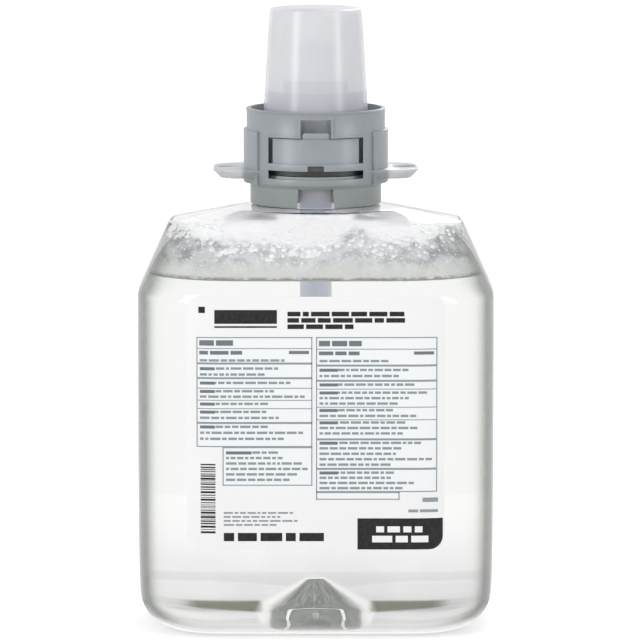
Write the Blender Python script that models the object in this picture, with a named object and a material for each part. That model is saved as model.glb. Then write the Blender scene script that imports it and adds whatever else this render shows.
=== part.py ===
"""A hand soap refill pack: a clear bottle of soap that stands on its base, with a foam pump in its neck.

Metres, +Z up. The origin is the middle of the base, on the surface that the bottle stands on. The label
faces -Y. Heights are measured from the base unless a name says otherwise.
"""

import math

import bmesh
import bpy
from mathutils import Vector

# Clearances, and how far a cutter runs past what it cuts
CLEARANCE = 0.0003
RUNNING_GAP = 0.0004
OVERCUT = 0.001

# Bottle body
BODY_WIDTH = 0.125
BODY_DEPTH = 0.089
BODY_CORNER = 0.028
BASE_FILLET = 0.015
BOTTLE_WALL = 0.0007
SIDE_HEIGHT = 0.1185
FRONT_HEIGHT = 0.1225
SHOULDER_ROUND = 0.008

# Bottle shoulder: a steep hip up to the roof edge, then a shallow roof up to the neck
ROOF_EDGE_HALF_WIDTH = 0.0515
ROOF_EDGE_HEIGHT = 0.1430
ROOF_EDGE_ROUND = 0.0025
ROOF_FLAT = 0.006
ROOF_BREAK_OUT = 0.0095
ROOF_BREAK_DROP = 0.0010
ROOF_BREAK_ROUND = 0.0010
FRONT_ROOT_OUT = 0.0030
FRONT_ROOT_DROP = 0.0009

# Bottle neck
NECK_RADIUS = 0.0210
NECK_WALL = 0.0015
NECK_ROOT_HEIGHT = 0.1482
NECK_LENGTH = 0.0098
NECK_ROOT_ROUND = 0.0005

# Foot and the bell pushed up into the base
FOOT_SHARE = 0.40
FOOT_SLOPE_SHARE = 0.50
FOOT_CORNER_PULL = 0.20
BASE_RECESS = 0.0008
BELL_RADIUS = 0.0255
BELL_SHOULDER_RADIUS = 0.0205
BELL_SHOULDER_HEIGHT = 0.0080
BELL_SHOULDER_ROUND = 0.010
BELL_HEIGHT = 0.0163
BELL_TIP_RADIUS = 0.0030
BELL_TIP_ROUND = 0.004
BELL_ROOT_ROUND = 0.002

# Soap and the foam above it
SOAP_OVER_FRONT = 0.0027
FOAM_TOP_DROP = 0.0014
FOAM_SWELL = 0.0010
FOAM_HOLLOW = 1.4
FOAM_LUMP = 0.033
FOAM_WAVE = 0.060
FOAM_RINGS = (0.82, 0.62, 0.42, 0.24)

# Front label
LABEL_WIDTH = 0.0888
LABEL_BOTTOM = 0.0321
LABEL_HEIGHT = 0.0884
LABEL_CORNER = 0.0046
LABEL_THICKNESS = 0.0002

# Dust cap
CAP_TOP_RADIUS = 0.0162
CAP_RIM_RADIUS = 0.01945
CAP_HEIGHT = 0.0538
CAP_WALL = 0.0012
CAP_TOP_ROUND = 0.0016
CAP_CROWN = 0.0004
CAP_BEAD = 0.0006
CAP_BEAD_RISE = 0.0012
CAP_BEAD_HEIGHT = 0.0018

# Collar
COLLAR_WALL = 0.0014
COLLAR_WELL_GAP = 0.00345
COLLAR_RISE_OVER_NECK = 0.0241
SKIRT_FOOT_ROUND = 0.0010
COLLAR_STEP_DROP = 0.0028
COLLAR_STEP_RISE = 0.0014
COLLAR_RIM_BEAD = 0.0004
COLLAR_INNER_ROUND = 0.0006
PAD_PROUD = 0.0011
PAD_TOP_DROP = 0.0074
PAD_FOOT_DROP = 0.0004
PAD_HALF_ANGLE = math.radians(36)
SHELF_THICKNESS = 0.0015
SHELF_REACH = 0.0007

# Wings at the sides of the collar
WING_SPAN = 0.0718
WING_DEPTH = 0.030
WING_CORNER = 0.009
WING_THICKNESS = 0.0031
WING_UNDER_CHAMFER = 0.0024
WING_TOP_EDGE = 0.0003
WING_RISE_OVER_STEP = 0.0016
WING_DISH_DEPTH = 0.0005
WING_DISH_HALF_WIDTH = 0.0042
WING_DISH_HALF_DEPTH = 0.0026
WING_DISH_STEPS = 16

# Window in the collar's front and back, and the latch panel in it
STEM_HALF_WIDTH = 0.0053
STEM_TOP_DROP = 0.0024
WINDOW_HALF_WIDTH = 0.0165
WINDOW_TOP_DROP = 0.0089
LATCH_SLOT = 0.0015
LATCH_SLIT = 0.0004
LATCH_RECESS = 0.0006
TAB_HALF_WIDTH = 0.0046
TAB_RISE = 0.0018
TAB_CHAMFER = 0.0006
LIP_HEIGHT = 0.0024
LIP_PROUD = 0.0006
LIP_PAST_WINDOW = 0.0010
LIP_TOP_DROP = 0.0180
LIP_NOTCH_HALF_WIDTH = 0.0025
LIP_NOTCH_FLARE = 0.0006
LIP_NOTCH_ROOF = 0.0005
LOWER_WINDOW_HEIGHT = 0.0030
WINDOW_BEAD = 0.0007
WINDOW_BEAD_PROUD = 0.0005
WINDOW_BEAD_LEG = 0.0012
WINDOW_BEAD_LAP = 0.0001
SKIRT_NOTCH_HALF_WIDTH = 0.0060
SKIRT_NOTCH_FLARE = 0.0006
SKIRT_NOTCH_RISE = 0.0067

# Pump carrier, which sits on the neck and holds the air cylinder and the cap's seat
GASKET_THICKNESS = 0.0010
GASKET_INSET = 0.0004
CARRIER_FLANGE = 0.0020
CARRIER_FLANGE_INSET = 0.0002
CARRIER_WALL = 0.0012
CARRIER_ROUND = 0.0005
SEAT_WALL = 0.0010
SEAT_HEIGHT = 0.0139
AIR_CYLINDER_RISE = 0.0082
AIR_CYLINDER_DROP = 0.0101
CARRIER_FLOOR = 0.0015

# Liquid cylinder, which hangs into the soap
CYLINDER_RADIUS = 0.0053
CYLINDER_WALL = 0.0011
CYLINDER_FLANGE_OUT = 0.0014
CYLINDER_FLANGE = 0.0012
CYLINDER_DROP = 0.0440
END_CAP_HEIGHT = 0.0040
END_CAP_BEVEL = 0.0010
END_CAP_PORT = 0.0015
VALVE_STALK_RADIUS = 0.0009
VALVE_HEAD_RADIUS = 0.0030
VALVE_HEAD = 0.0008

# Pump piston and its nozzle
PUMP_STROKE = 0.010
STEM_RADIUS = 0.0024
STEM_BORE = 0.0013
STEM_FOOT_MARGIN = 0.0040
PISTON_SEAL_HEIGHT = 0.0050
NOZZLE_WALL = 0.0011
FLANGE_RIM_HEIGHT = 0.0047
FLANGE_PLATE = 0.0015
FLANGE_RISE_OVER_SEAT = 0.0057
MIDDLE_RADIUS = 0.0109
MIDDLE_HEIGHT = 0.0053
TIP_RADIUS = 0.0062
TIP_HEIGHT = 0.0133
NOZZLE_SHELF_DROP = 0.0003
FLANGE_ROUND = 0.0006
MIDDLE_ROUND = 0.0008
TIP_ROUND = 0.0004
AIR_PISTON_PLATE = 0.0042
AIR_PISTON_MARGIN = 0.0038
AIR_TUBE_DROP = 0.0010
AIR_SEAL_HEIGHT = 0.0018
AIR_SEAL_GROOVE = 0.0012
AIR_SEAL_LIP = 0.0004
OUTLET_VALVE_HEIGHT = 0.0030
OUTLET_VALVE_PLATE = 0.0008
OUTLET_BILL_SHARE = 0.70
OUTLET_SLIT_SHARE = 0.25
CARTRIDGE_LENGTH = 0.0130
CARTRIDGE_DROP = 0.0008
CARTRIDGE_WALL = 0.0013
SCREEN_SEAT = 0.0007
SCREEN_THICKNESS = 0.0004
SCREEN_HOLE = 0.0009
SCREEN_PITCH = 0.0013

# Fineness of the round shapes
CORNER_STEPS = 7
HULL_FILLET_STEPS = 4
FILLET_STEPS = 2
ROUND_STEPS = 48
SMALL_ROUND_STEPS = 32
LABEL_STEPS = 16
LABEL_CORNER_STEPS = 5
SMOOTH_ANGLE = math.radians(32)
RING_SPACING = 1e-4
MERGE = 1e-6

# Heights and radii that follow from the sizes above
SOAP_LEVEL = FRONT_HEIGHT + SOAP_OVER_FRONT
FOAM_TOP = NECK_ROOT_HEIGHT - FOAM_TOP_DROP
NECK_TOP = NECK_ROOT_HEIGHT + NECK_LENGTH
NECK_BORE = NECK_RADIUS - NECK_WALL
CARRIER_FOOT = NECK_TOP + GASKET_THICKNESS + 2 * CLEARANCE
CARRIER_DECK = CARRIER_FOOT + CARRIER_FLANGE
SHELF_FOOT = CARRIER_DECK + CLEARANCE
SHELF_TOP = SHELF_FOOT + SHELF_THICKNESS
CAP_FOOT = SHELF_TOP + CLEARANCE
CAP_TOP = CAP_FOOT + CAP_HEIGHT
SEAT_TOP = CARRIER_DECK + SEAT_HEIGHT
SEAT_RADIUS = CAP_RIM_RADIUS - CAP_WALL - CAP_BEAD - CLEARANCE
SEAT_BORE = SEAT_RADIUS - SEAT_WALL
FLANGE_RADIUS = SEAT_BORE - RUNNING_GAP
FLANGE_FOOT = SEAT_TOP + FLANGE_RISE_OVER_SEAT
FLANGE_TOP = FLANGE_FOOT + FLANGE_RIM_HEIGHT
MIDDLE_TOP = FLANGE_TOP + MIDDLE_HEIGHT
TIP_TOP = MIDDLE_TOP + TIP_HEIGHT
AIR_CYLINDER_RADIUS = FLANGE_RADIUS - NOZZLE_WALL - RUNNING_GAP
AIR_BORE = AIR_CYLINDER_RADIUS - CARRIER_WALL
AIR_CYLINDER_TOP = CARRIER_DECK + AIR_CYLINDER_RISE
AIR_FLOOR_FOOT = CARRIER_FOOT - AIR_CYLINDER_DROP
AIR_FLOOR_TOP = AIR_FLOOR_FOOT + CARRIER_FLOOR
CYLINDER_TOP = AIR_FLOOR_TOP + CLEARANCE + CYLINDER_FLANGE
CYLINDER_FOOT = CYLINDER_TOP - CYLINDER_DROP
CYLINDER_BORE = CYLINDER_RADIUS - CYLINDER_WALL
COLLAR_BORE = CAP_RIM_RADIUS + COLLAR_WELL_GAP
COLLAR_RADIUS = COLLAR_BORE + COLLAR_WALL
COLLAR_TOP = NECK_TOP + COLLAR_RISE_OVER_NECK
SKIRT_BORE = NECK_RADIUS + 2 * CLEARANCE
SKIRT_RADIUS = SKIRT_BORE + COLLAR_WALL
SKIRT_FOOT = NECK_ROOT_HEIGHT + CLEARANCE
STEP_FOOT = NECK_TOP - COLLAR_STEP_DROP
STEP_TOP = STEP_FOOT + COLLAR_STEP_RISE
PAD_RADIUS = COLLAR_RADIUS + PAD_PROUD
LIP_TOP = COLLAR_TOP - LIP_TOP_DROP
LIP_FOOT = LIP_TOP - LIP_HEIGHT
LOWER_WINDOW_FOOT = LIP_FOOT - LOWER_WINDOW_HEIGHT
WINDOW_TOP = COLLAR_TOP - WINDOW_TOP_DROP
STEM_TOP = COLLAR_TOP - STEM_TOP_DROP
COLLAR_MIDWALL = COLLAR_RADIUS - COLLAR_WALL / 2
NOZZLE_SHELF = FLANGE_TOP - NOZZLE_SHELF_DROP
STEM_FOOT = CYLINDER_FOOT + PUMP_STROKE + STEM_FOOT_MARGIN
AIR_PISTON_FOOT = AIR_FLOOR_TOP + PUMP_STROKE + AIR_PISTON_MARGIN
AIR_PISTON_CHEEK = (AIR_PISTON_PLATE - AIR_SEAL_HEIGHT - 2 * CLEARANCE) / 2
AIR_PISTON_RIM = AIR_BORE - RUNNING_GAP
CARTRIDGE_RADIUS = TIP_RADIUS - NOZZLE_WALL - CLEARANCE
CARTRIDGE_TOP = TIP_TOP - CARTRIDGE_DROP
CARTRIDGE_FOOT = CARTRIDGE_TOP - CARTRIDGE_LENGTH


def clear_scene():
    for thing in list(bpy.data.objects):
        bpy.data.objects.remove(thing, do_unlink=True)


def material(name, colour, roughness, transmission=0.0, alpha=1.0):
    made = bpy.data.materials.new(name)
    made.use_nodes = True
    shader = made.node_tree.nodes["Principled BSDF"]
    shader.inputs["Base Color"].default_value = (*colour, 1.0)
    shader.inputs["Roughness"].default_value = roughness
    shader.inputs["Metallic"].default_value = 0.0
    shader.inputs["Transmission Weight"].default_value = transmission
    shader.inputs["Alpha"].default_value = alpha
    made.diffuse_color = (*colour, alpha)
    return made


def smoothed(mesh):
    """Round sides shaded smooth, with the real edges left sharp."""
    mesh.shade_smooth()
    mesh.set_sharp_from_angle(angle=SMOOTH_ANGLE)


def finished(name, shape, finish):
    """The bmesh as a named object with its faces pointing out."""
    bmesh.ops.remove_doubles(shape, verts=shape.verts, dist=MERGE)
    bmesh.ops.dissolve_degenerate(shape, edges=shape.edges, dist=MERGE)
    bmesh.ops.recalc_face_normals(shape, faces=shape.faces)
    mesh = bpy.data.meshes.new(name)
    shape.to_mesh(mesh)
    shape.free()
    smoothed(mesh)
    made = bpy.data.objects.new(name, mesh)
    bpy.context.collection.objects.link(made)
    if finish:
        mesh.materials.append(finish)
    return made


def rounded_path(corners, steps=FILLET_STEPS, closed=False):
    """Points along a path whose corners are (u, z, fillet radius), each fillet an arc of so many steps."""
    points = []
    count = len(corners)
    for index, (u, z, radius) in enumerate(corners):
        here = Vector((u, z))
        at_end = not closed and index in (0, count - 1)
        if radius == 0 or at_end:
            points.append(here)
            continue
        before = Vector(corners[index - 1][:2]) - here
        after = Vector(corners[(index + 1) % count][:2]) - here
        turn = before.angle(after)
        most = 0.49 * min(before.length, after.length) * math.tan(turn / 2)
        fit = min(radius, most)
        reach = fit / math.tan(turn / 2)
        start = here + before.normalized() * reach
        middle = here + (before.normalized() + after.normalized()).normalized() * fit / math.sin(turn / 2)
        spoke = start - middle
        sweep = (math.pi - turn) * (1 if before.cross(after) > 0 else -1)
        for step in range(steps + 1):
            angle = -sweep * step / steps
            turned = Vector((
                spoke.x * math.cos(angle) - spoke.y * math.sin(angle),
                spoke.x * math.sin(angle) + spoke.y * math.cos(angle),
            ))
            points.append(middle + turned)
    return points


def offset_path(corners, distance):
    """The path moved to its left by a distance, with mitred corners and the same fillets."""
    moved = []
    for index, (u, z, radius) in enumerate(corners):
        here = Vector((u, z))
        ways = []
        if index > 0:
            ways.append((here - Vector(corners[index - 1][:2])).normalized())
        if index < len(corners) - 1:
            ways.append((Vector(corners[index + 1][:2]) - here).normalized())
        lefts = [Vector((-way.y, way.x)) for way in ways]
        middle = sum(lefts, Vector((0, 0))).normalized()
        spot = here + middle * distance / middle.dot(lefts[0])
        moved.append((spot.x, spot.y, radius))
    return moved


def turned(name, corners, finish, steps=ROUND_STEPS, fillet_steps=FILLET_STEPS):
    """A piece turned about the Z axis from its closed half section, given as (radius, height, fillet)."""
    shape = bmesh.new()
    section = rounded_path(corners, fillet_steps, closed=True)
    verts = [shape.verts.new((point.x, 0, point.y)) for point in section]
    edges = [
        shape.edges.new((a, b))
        for a, b in zip(verts, verts[1:] + verts[:1])
        if a.co.x > MERGE or b.co.x > MERGE
    ]
    bmesh.ops.spin(
        shape, geom=verts + edges, cent=(0, 0, 0), axis=(0, 0, 1), angle=math.tau,
        steps=steps, use_merge=True,
    )
    loose = [edge for edge in shape.edges if not edge.link_faces]
    bmesh.ops.delete(shape, geom=loose, context="EDGES")
    return finished(name, shape, finish)


def prism(name, outline, low, high, finish=None, axis="Y"):
    """An outline in X and Z extruded along Y, or one in X and Y extruded along Z."""
    shape = bmesh.new()
    if axis == "Y":
        verts = [shape.verts.new((u, low, v)) for u, v in outline]
        way = (0, high - low, 0)
    else:
        verts = [shape.verts.new((u, v, low)) for u, v in outline]
        way = (0, 0, high - low)
    face = shape.faces.new(verts)
    grown = bmesh.ops.extrude_face_region(shape, geom=[face])["geom"]
    bmesh.ops.translate(shape, verts=[g for g in grown if isinstance(g, bmesh.types.BMVert)], vec=way)
    return finished(name, shape, finish)


def rectangle(left, right, low, high):
    return [(left, low), (right, low), (right, high), (left, high)]


def combined(target, tool, operation):
    """A Boolean on the target, applied, with the tool taken away afterwards."""
    modifier = target.modifiers.new(operation.lower(), "BOOLEAN")
    modifier.operation = operation
    modifier.object = tool
    modifier.solver = "EXACT"
    bpy.context.view_layer.update()
    graph = bpy.context.evaluated_depsgraph_get()
    result = bpy.data.meshes.new_from_object(target.evaluated_get(graph))
    target.modifiers.remove(modifier)
    old = target.data
    target.data = result
    bpy.data.meshes.remove(old)
    bpy.data.objects.remove(tool, do_unlink=True)
    return target


def section_ring(shape, half_x, half_y, flat_x, flat_y, height):
    """A ring round a rectangle with elliptical corners; flat_x and flat_y are half its straight sides."""
    ring = []
    for quadrant, (side_x, side_y) in enumerate(((1, 1), (-1, 1), (-1, -1), (1, -1))):
        for step in range(CORNER_STEPS + 1):
            angle = math.pi / 2 * (step / CORNER_STEPS + quadrant)
            x = side_x * flat_x + (half_x - flat_x) * math.cos(angle)
            y = side_y * flat_y + (half_y - flat_y) * math.sin(angle)
            ring.append(shape.verts.new((x, y, height)))
    return ring


def bridge(shape, lower, upper):
    for index in range(len(lower)):
        following = (index + 1) % len(lower)
        shape.faces.new((lower[index], lower[following], upper[following], upper[index]))


def width_at(path, height):
    """How far out the path is at a height."""
    for a, b in zip(path, path[1:]):
        if a.y <= height <= b.y and b.y > a.y:
            return a.x + (b.x - a.x) * (height - a.y) / (b.y - a.y)
    return path[-1].x if height > path[-1].y else path[0].x


def side_path():
    """The bottle's outline seen from the front: half width against height."""
    return [
        (0, 0, 0),
        (BODY_WIDTH / 2, 0, BASE_FILLET),
        (BODY_WIDTH / 2, SIDE_HEIGHT, SHOULDER_ROUND),
        (ROOF_EDGE_HALF_WIDTH, ROOF_EDGE_HEIGHT, ROOF_EDGE_ROUND),
        (NECK_RADIUS + ROOF_BREAK_OUT, NECK_ROOT_HEIGHT - ROOF_BREAK_DROP, ROOF_BREAK_ROUND),
        (NECK_RADIUS, NECK_ROOT_HEIGHT, NECK_ROOT_ROUND),
        (NECK_RADIUS, NECK_TOP, 0),
    ]


def front_path():
    """The bottle's outline seen from the side: half depth against height."""
    return [
        (0, 0, 0),
        (BODY_DEPTH / 2, 0, BASE_FILLET),
        (BODY_DEPTH / 2, FRONT_HEIGHT, SHOULDER_ROUND),
        (NECK_RADIUS + FRONT_ROOT_OUT, NECK_ROOT_HEIGHT - FRONT_ROOT_DROP, ROOF_BREAK_ROUND),
        (NECK_RADIUS, NECK_ROOT_HEIGHT, NECK_ROOT_ROUND),
        (NECK_RADIUS, NECK_TOP, 0),
    ]


def flats_at(height, inset):
    """Half of the straight side along X and along Y at a height: long on the body, none at the neck."""
    body_x = BODY_WIDTH / 2 - BODY_CORNER
    body_y = BODY_DEPTH / 2 - BODY_CORNER
    if height <= SIDE_HEIGHT:
        return body_x, body_y
    if height <= ROOF_EDGE_HEIGHT - inset:
        share = (height - SIDE_HEIGHT) / (ROOF_EDGE_HEIGHT - inset - SIDE_HEIGHT)
        return body_x + (ROOF_FLAT - body_x) * share, body_y + (ROOF_FLAT - body_y) * share
    share = min(1, (height - ROOF_EDGE_HEIGHT + inset) / (NECK_ROOT_HEIGHT - ROOF_EDGE_HEIGHT))
    return ROOF_FLAT * (1 - share), ROOF_FLAT * (1 - share)


def hull_rings(shape, inset, foot, top, neck_bore=None):
    """Rings up the bottle's wall, moved inwards by inset, from one height up to another."""
    sides = rounded_path(offset_path(side_path(), inset), HULL_FILLET_STEPS)
    fronts = rounded_path(offset_path(front_path(), inset), HULL_FILLET_STEPS)
    between = {round(point.y, 6) for point in sides + fronts if foot < point.y < top}
    spaced = [foot]
    for height in sorted(between | {top}):
        if height - spaced[-1] > RING_SPACING or height == top:
            spaced.append(height)
    rings = []
    for height in spaced:
        half_x = width_at(sides[1:], height)
        half_y = width_at(fronts[1:], height)
        if neck_bore and height > NECK_ROOT_HEIGHT - NECK_ROOT_ROUND:
            half_x = min(half_x, neck_bore)
            half_y = min(half_y, neck_bore)
        flat_x, flat_y = flats_at(height, inset)
        lowness = max(0.0, min(1.0, (BASE_FILLET - height + inset) / BASE_FILLET)) ** 2
        flat_x = min(flat_x, half_x * (1 - FOOT_CORNER_PULL * lowness))
        flat_y = min(flat_y, half_y * (1 - FOOT_CORNER_PULL * lowness))
        rings.append(section_ring(shape, half_x, half_y, flat_x, flat_y, height))
    return rings


def bell_path(inset):
    """The bell's outline from its root to its tip: radius against height."""
    corners = [
        (BELL_RADIUS + BELL_ROOT_ROUND, BASE_RECESS, 0),
        (BELL_RADIUS, BASE_RECESS, BELL_ROOT_ROUND),
        (BELL_SHOULDER_RADIUS, BELL_SHOULDER_HEIGHT, BELL_SHOULDER_ROUND),
        (BELL_TIP_RADIUS, BELL_HEIGHT, BELL_TIP_ROUND),
        (0, BELL_HEIGHT, 0),
    ]
    return rounded_path(offset_path(corners, -inset), HULL_FILLET_STEPS)


def floor_rings(shape, base, inset):
    """Rings from the flat of the base inwards: the foot, the recess inside it and the bell."""
    bell = bell_path(inset)
    root = section_ring(shape, bell[0].x, bell[0].x, 0, 0, inset + BASE_RECESS)
    rings = []
    for share, height in ((FOOT_SHARE, inset), (FOOT_SHARE + FOOT_SLOPE_SHARE, inset + BASE_RECESS)):
        rings.append([
            shape.verts.new(outer.co.lerp(inner.co, share).to_2d().to_3d() + Vector((0, 0, height)))
            for outer, inner in zip(base, root)
        ])
    rings.append(root)
    for point in bell[1:]:
        radius = max(0.0, point.x)
        rings.append(section_ring(shape, radius, radius, 0, 0, point.y))
    return rings


def wall_and_floor(shape, wall, inset):
    """Faces up the wall's rings and across the base below them."""
    for lower, upper in zip(wall, wall[1:]):
        bridge(shape, lower, upper)
    floor = floor_rings(shape, wall[0], inset)
    for outer, inner in zip([wall[0]] + floor, floor):
        bridge(shape, inner, outer)


def hull(name, inset, top, finish):
    """A solid that fills the bottle's form, moved inwards by inset, up to a height."""
    shape = bmesh.new()
    wall = hull_rings(shape, inset, inset, top)
    wall_and_floor(shape, wall, inset)
    shape.faces.new(wall[-1])
    return finished(name, shape, finish)


def make_bottle(finish):
    """One blown shell, open at the neck."""
    shape = bmesh.new()
    outside = hull_rings(shape, 0, 0, NECK_TOP)
    inside = hull_rings(shape, BOTTLE_WALL, BOTTLE_WALL, NECK_TOP, NECK_BORE)
    wall_and_floor(shape, outside, 0)
    wall_and_floor(shape, inside, BOTTLE_WALL)
    bridge(shape, outside[-1], inside[-1])
    return finished("bottle", shape, finish)


def cylinder_pocket(low, high):
    """What the liquid cylinder needs clear round it."""
    radius = CYLINDER_RADIUS + CLEARANCE
    return turned(
        "pocket",
        [(0, low, 0), (radius, low, 0), (radius, high, 0), (0, high, 0)],
        None, SMALL_ROUND_STEPS,
    )


def make_soap(finish):
    soap = hull("soap_liquid", BOTTLE_WALL + CLEARANCE, SOAP_LEVEL, finish)
    pocket = cylinder_pocket(CYLINDER_FOOT - END_CAP_HEIGHT - CLEARANCE, SOAP_LEVEL + OVERCUT)
    return combined(soap, pocket, "DIFFERENCE")


def foam_height(x, y):
    """The foam's uneven top: higher at the sides, with soft lumps."""
    lumps = math.sin(math.tau * x / FOAM_LUMP) * math.cos(math.tau * y / FOAM_LUMP)
    waves = math.sin(math.tau * (x - y) / FOAM_WAVE)
    rise = (x / ROOF_EDGE_HALF_WIDTH) ** 2
    return FOAM_TOP - FOAM_SWELL * (FOAM_HOLLOW - rise - (lumps + waves) / 2)


def make_foam(finish):
    """The foam between the soap and the roof, with an uneven top."""
    shape = bmesh.new()
    wall = hull_rings(shape, BOTTLE_WALL + CLEARANCE, SOAP_LEVEL + CLEARANCE, FOAM_TOP)
    for lower, upper in zip(wall, wall[1:]):
        bridge(shape, lower, upper)
    shape.faces.new(wall[0])
    rim = wall[-1]
    previous = rim
    for share in FOAM_RINGS:
        ring = [shape.verts.new(vert.co * share) for vert in rim]
        for vert in ring:
            vert.co.z = foam_height(vert.co.x, vert.co.y)
        bridge(shape, previous, ring)
        previous = ring
    shape.faces.new(previous)
    foam = finished("foam_head", shape, finish)
    return combined(foam, cylinder_pocket(SOAP_LEVEL, NECK_TOP), "DIFFERENCE")


def front_face_at(x):
    """The front wall's Y at an X, where the label lies."""
    flat = BODY_WIDTH / 2 - BODY_CORNER
    past = max(0.0, abs(x) - flat)
    return -(BODY_DEPTH / 2 - BODY_CORNER + math.sqrt(BODY_CORNER**2 - past**2))


def front_way_at(x):
    """The direction out of the front wall at an X."""
    flat = BODY_WIDTH / 2 - BODY_CORNER
    past = max(0.0, abs(x) - flat)
    return Vector((math.copysign(past, x), -math.sqrt(BODY_CORNER**2 - past**2), 0)).normalized()


def make_label(finish):
    """A thin sheet that lies round the front wall, with round corners."""
    half = LABEL_WIDTH / 2
    straight = half - LABEL_CORNER
    turns = [math.pi / 2 * step / LABEL_CORNER_STEPS for step in range(LABEL_CORNER_STEPS)]
    left = [-straight - LABEL_CORNER * math.cos(turn) for turn in turns]
    places = left + [straight * (2 * step / LABEL_STEPS - 1) for step in range(LABEL_STEPS + 1)]
    places += [-place for place in reversed(left)]
    shape = bmesh.new()
    columns = []
    for x in places:
        past = max(0.0, abs(x) - straight)
        drop = LABEL_CORNER - math.sqrt(max(0.0, LABEL_CORNER**2 - past**2))
        low = LABEL_BOTTOM + drop
        high = LABEL_BOTTOM + LABEL_HEIGHT - drop
        way = front_way_at(x)
        back = Vector((x, front_face_at(x), 0)) + way * CLEARANCE
        front = back + way * LABEL_THICKNESS
        columns.append([
            shape.verts.new((spot.x, spot.y, height))
            for spot, height in ((front, low), (front, high), (back, high), (back, low))
        ])
    for left, right in zip(columns, columns[1:]):
        for corner in range(4):
            following = (corner + 1) % 4
            shape.faces.new((left[corner], left[following], right[following], right[corner]))
    shape.faces.new(columns[0])
    shape.faces.new(columns[-1])
    return finished("front_label", shape, finish)


def cap_radius_at(height):
    share = (height - CAP_FOOT) / CAP_HEIGHT
    return CAP_RIM_RADIUS + (CAP_TOP_RADIUS - CAP_RIM_RADIUS) * share


def make_cap(finish):
    """A tapered cover with a slightly crowned top and a bead inside its rim that grips the seat."""
    bead_low = CAP_FOOT + CAP_BEAD_RISE
    bead_high = bead_low + CAP_BEAD_HEIGHT
    ceiling = CAP_TOP - CAP_CROWN - CAP_WALL
    corners = [
        (0, CAP_TOP, 0),
        (0, CAP_TOP - CAP_WALL, 0),
        (CAP_TOP_RADIUS - 2 * CAP_WALL, ceiling, 0),
        (cap_radius_at(ceiling) - CAP_WALL, ceiling - CAP_WALL / 2, 0),
        (cap_radius_at(bead_high) - CAP_WALL, bead_high, 0),
        (cap_radius_at(bead_low) - CAP_WALL - CAP_BEAD, (bead_low + bead_high) / 2, 0),
        (cap_radius_at(bead_low) - CAP_WALL, bead_low, 0),
        (CAP_RIM_RADIUS - CAP_WALL, CAP_FOOT, 0),
        (CAP_RIM_RADIUS, CAP_FOOT, 0),
        (cap_radius_at(CAP_TOP - CAP_CROWN), CAP_TOP - CAP_CROWN, CAP_TOP_ROUND),
    ]
    return turned("dust_cap", corners, finish)


def collar_sleeve(finish):
    """The collar's round body: skirt, step, wall with a rim bead, and the shelf over the carrier."""
    corners = [
        (SKIRT_BORE, SKIRT_FOOT, 0),
        (SKIRT_RADIUS, SKIRT_FOOT, SKIRT_FOOT_ROUND),
        (SKIRT_RADIUS, STEP_FOOT, 0),
        (COLLAR_RADIUS, STEP_TOP, 0),
        (COLLAR_RADIUS, COLLAR_TOP - 2 * COLLAR_RIM_BEAD, 0),
        (COLLAR_RADIUS + COLLAR_RIM_BEAD, COLLAR_TOP - COLLAR_RIM_BEAD, 0),
        (COLLAR_RADIUS, COLLAR_TOP, 0),
        (COLLAR_BORE, COLLAR_TOP, 0),
        (COLLAR_BORE, SHELF_TOP, COLLAR_INNER_ROUND),
        (SEAT_RADIUS + SHELF_REACH, SHELF_TOP, 0),
        (SEAT_RADIUS + SHELF_REACH, SHELF_FOOT, 0),
        (COLLAR_BORE, SHELF_FOOT, COLLAR_INNER_ROUND),
        (COLLAR_BORE, NECK_TOP, 0),
        (SKIRT_BORE, NECK_TOP - COLLAR_WALL, 0),
    ]
    return turned("outer_collar", corners, finish)


def ring_sector(name, inner, outer, low, high, middle_angle, half_angle):
    """A block between two radii, two heights and two angles."""
    shape = bmesh.new()
    start = middle_angle - half_angle
    way = Vector((math.cos(start), math.sin(start), 0))
    corners = [(inner, low), (outer, low), (outer, high), (inner, high)]
    verts = [shape.verts.new(way * radius + Vector((0, 0, height))) for radius, height in corners]
    first = shape.faces.new(verts)
    steps = max(2, round(half_angle / math.pi * ROUND_STEPS))
    bmesh.ops.spin(
        shape, geom=[first] + first.edges[:] + verts, cent=(0, 0, 0), axis=(0, 0, 1),
        angle=2 * half_angle, steps=steps,
    )
    return finished(name, shape, None)


def wing_plate():
    """Both wings as one plate, with round corners, a dish in each and its underside chamfered."""
    half = WING_SPAN / 2
    depth = WING_DEPTH / 2
    foot = STEP_TOP + WING_RISE_OVER_STEP
    top = foot + WING_THICKNESS
    shape = bmesh.new()
    levels = (
        (WING_UNDER_CHAMFER, foot),
        (0, foot + WING_UNDER_CHAMFER),
        (0, top - WING_TOP_EDGE),
        (WING_TOP_EDGE, top),
    )
    rings = []
    for cut, height in levels:
        rings.append(section_ring(
            shape, half - cut, depth - cut / 2, half - WING_CORNER, depth - WING_CORNER, height
        ))
    for lower, upper in zip(rings, rings[1:]):
        bridge(shape, lower, upper)
    shape.faces.new(rings[0])
    shape.faces.new(rings[-1])
    plate = finished("wing_plate", shape, None)
    for side in (-1, 1):
        middle = side * (PAD_RADIUS + half) / 2
        outline = [
            (middle + WING_DISH_HALF_WIDTH * math.cos(turn), WING_DISH_HALF_DEPTH * math.sin(turn))
            for turn in (math.tau * step / WING_DISH_STEPS for step in range(WING_DISH_STEPS))
        ]
        dish = prism("dish", outline, top - WING_DISH_DEPTH, top + OVERCUT, axis="Z")
        combined(plate, dish, "DIFFERENCE")
    low = foot - OVERCUT
    high = top + OVERCUT
    core = turned(
        "core",
        [(0, low, 0), (COLLAR_MIDWALL, low, 0), (COLLAR_MIDWALL, high, 0), (0, high, 0)],
        None,
    )
    return combined(plate, core, "DIFFERENCE")


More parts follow.
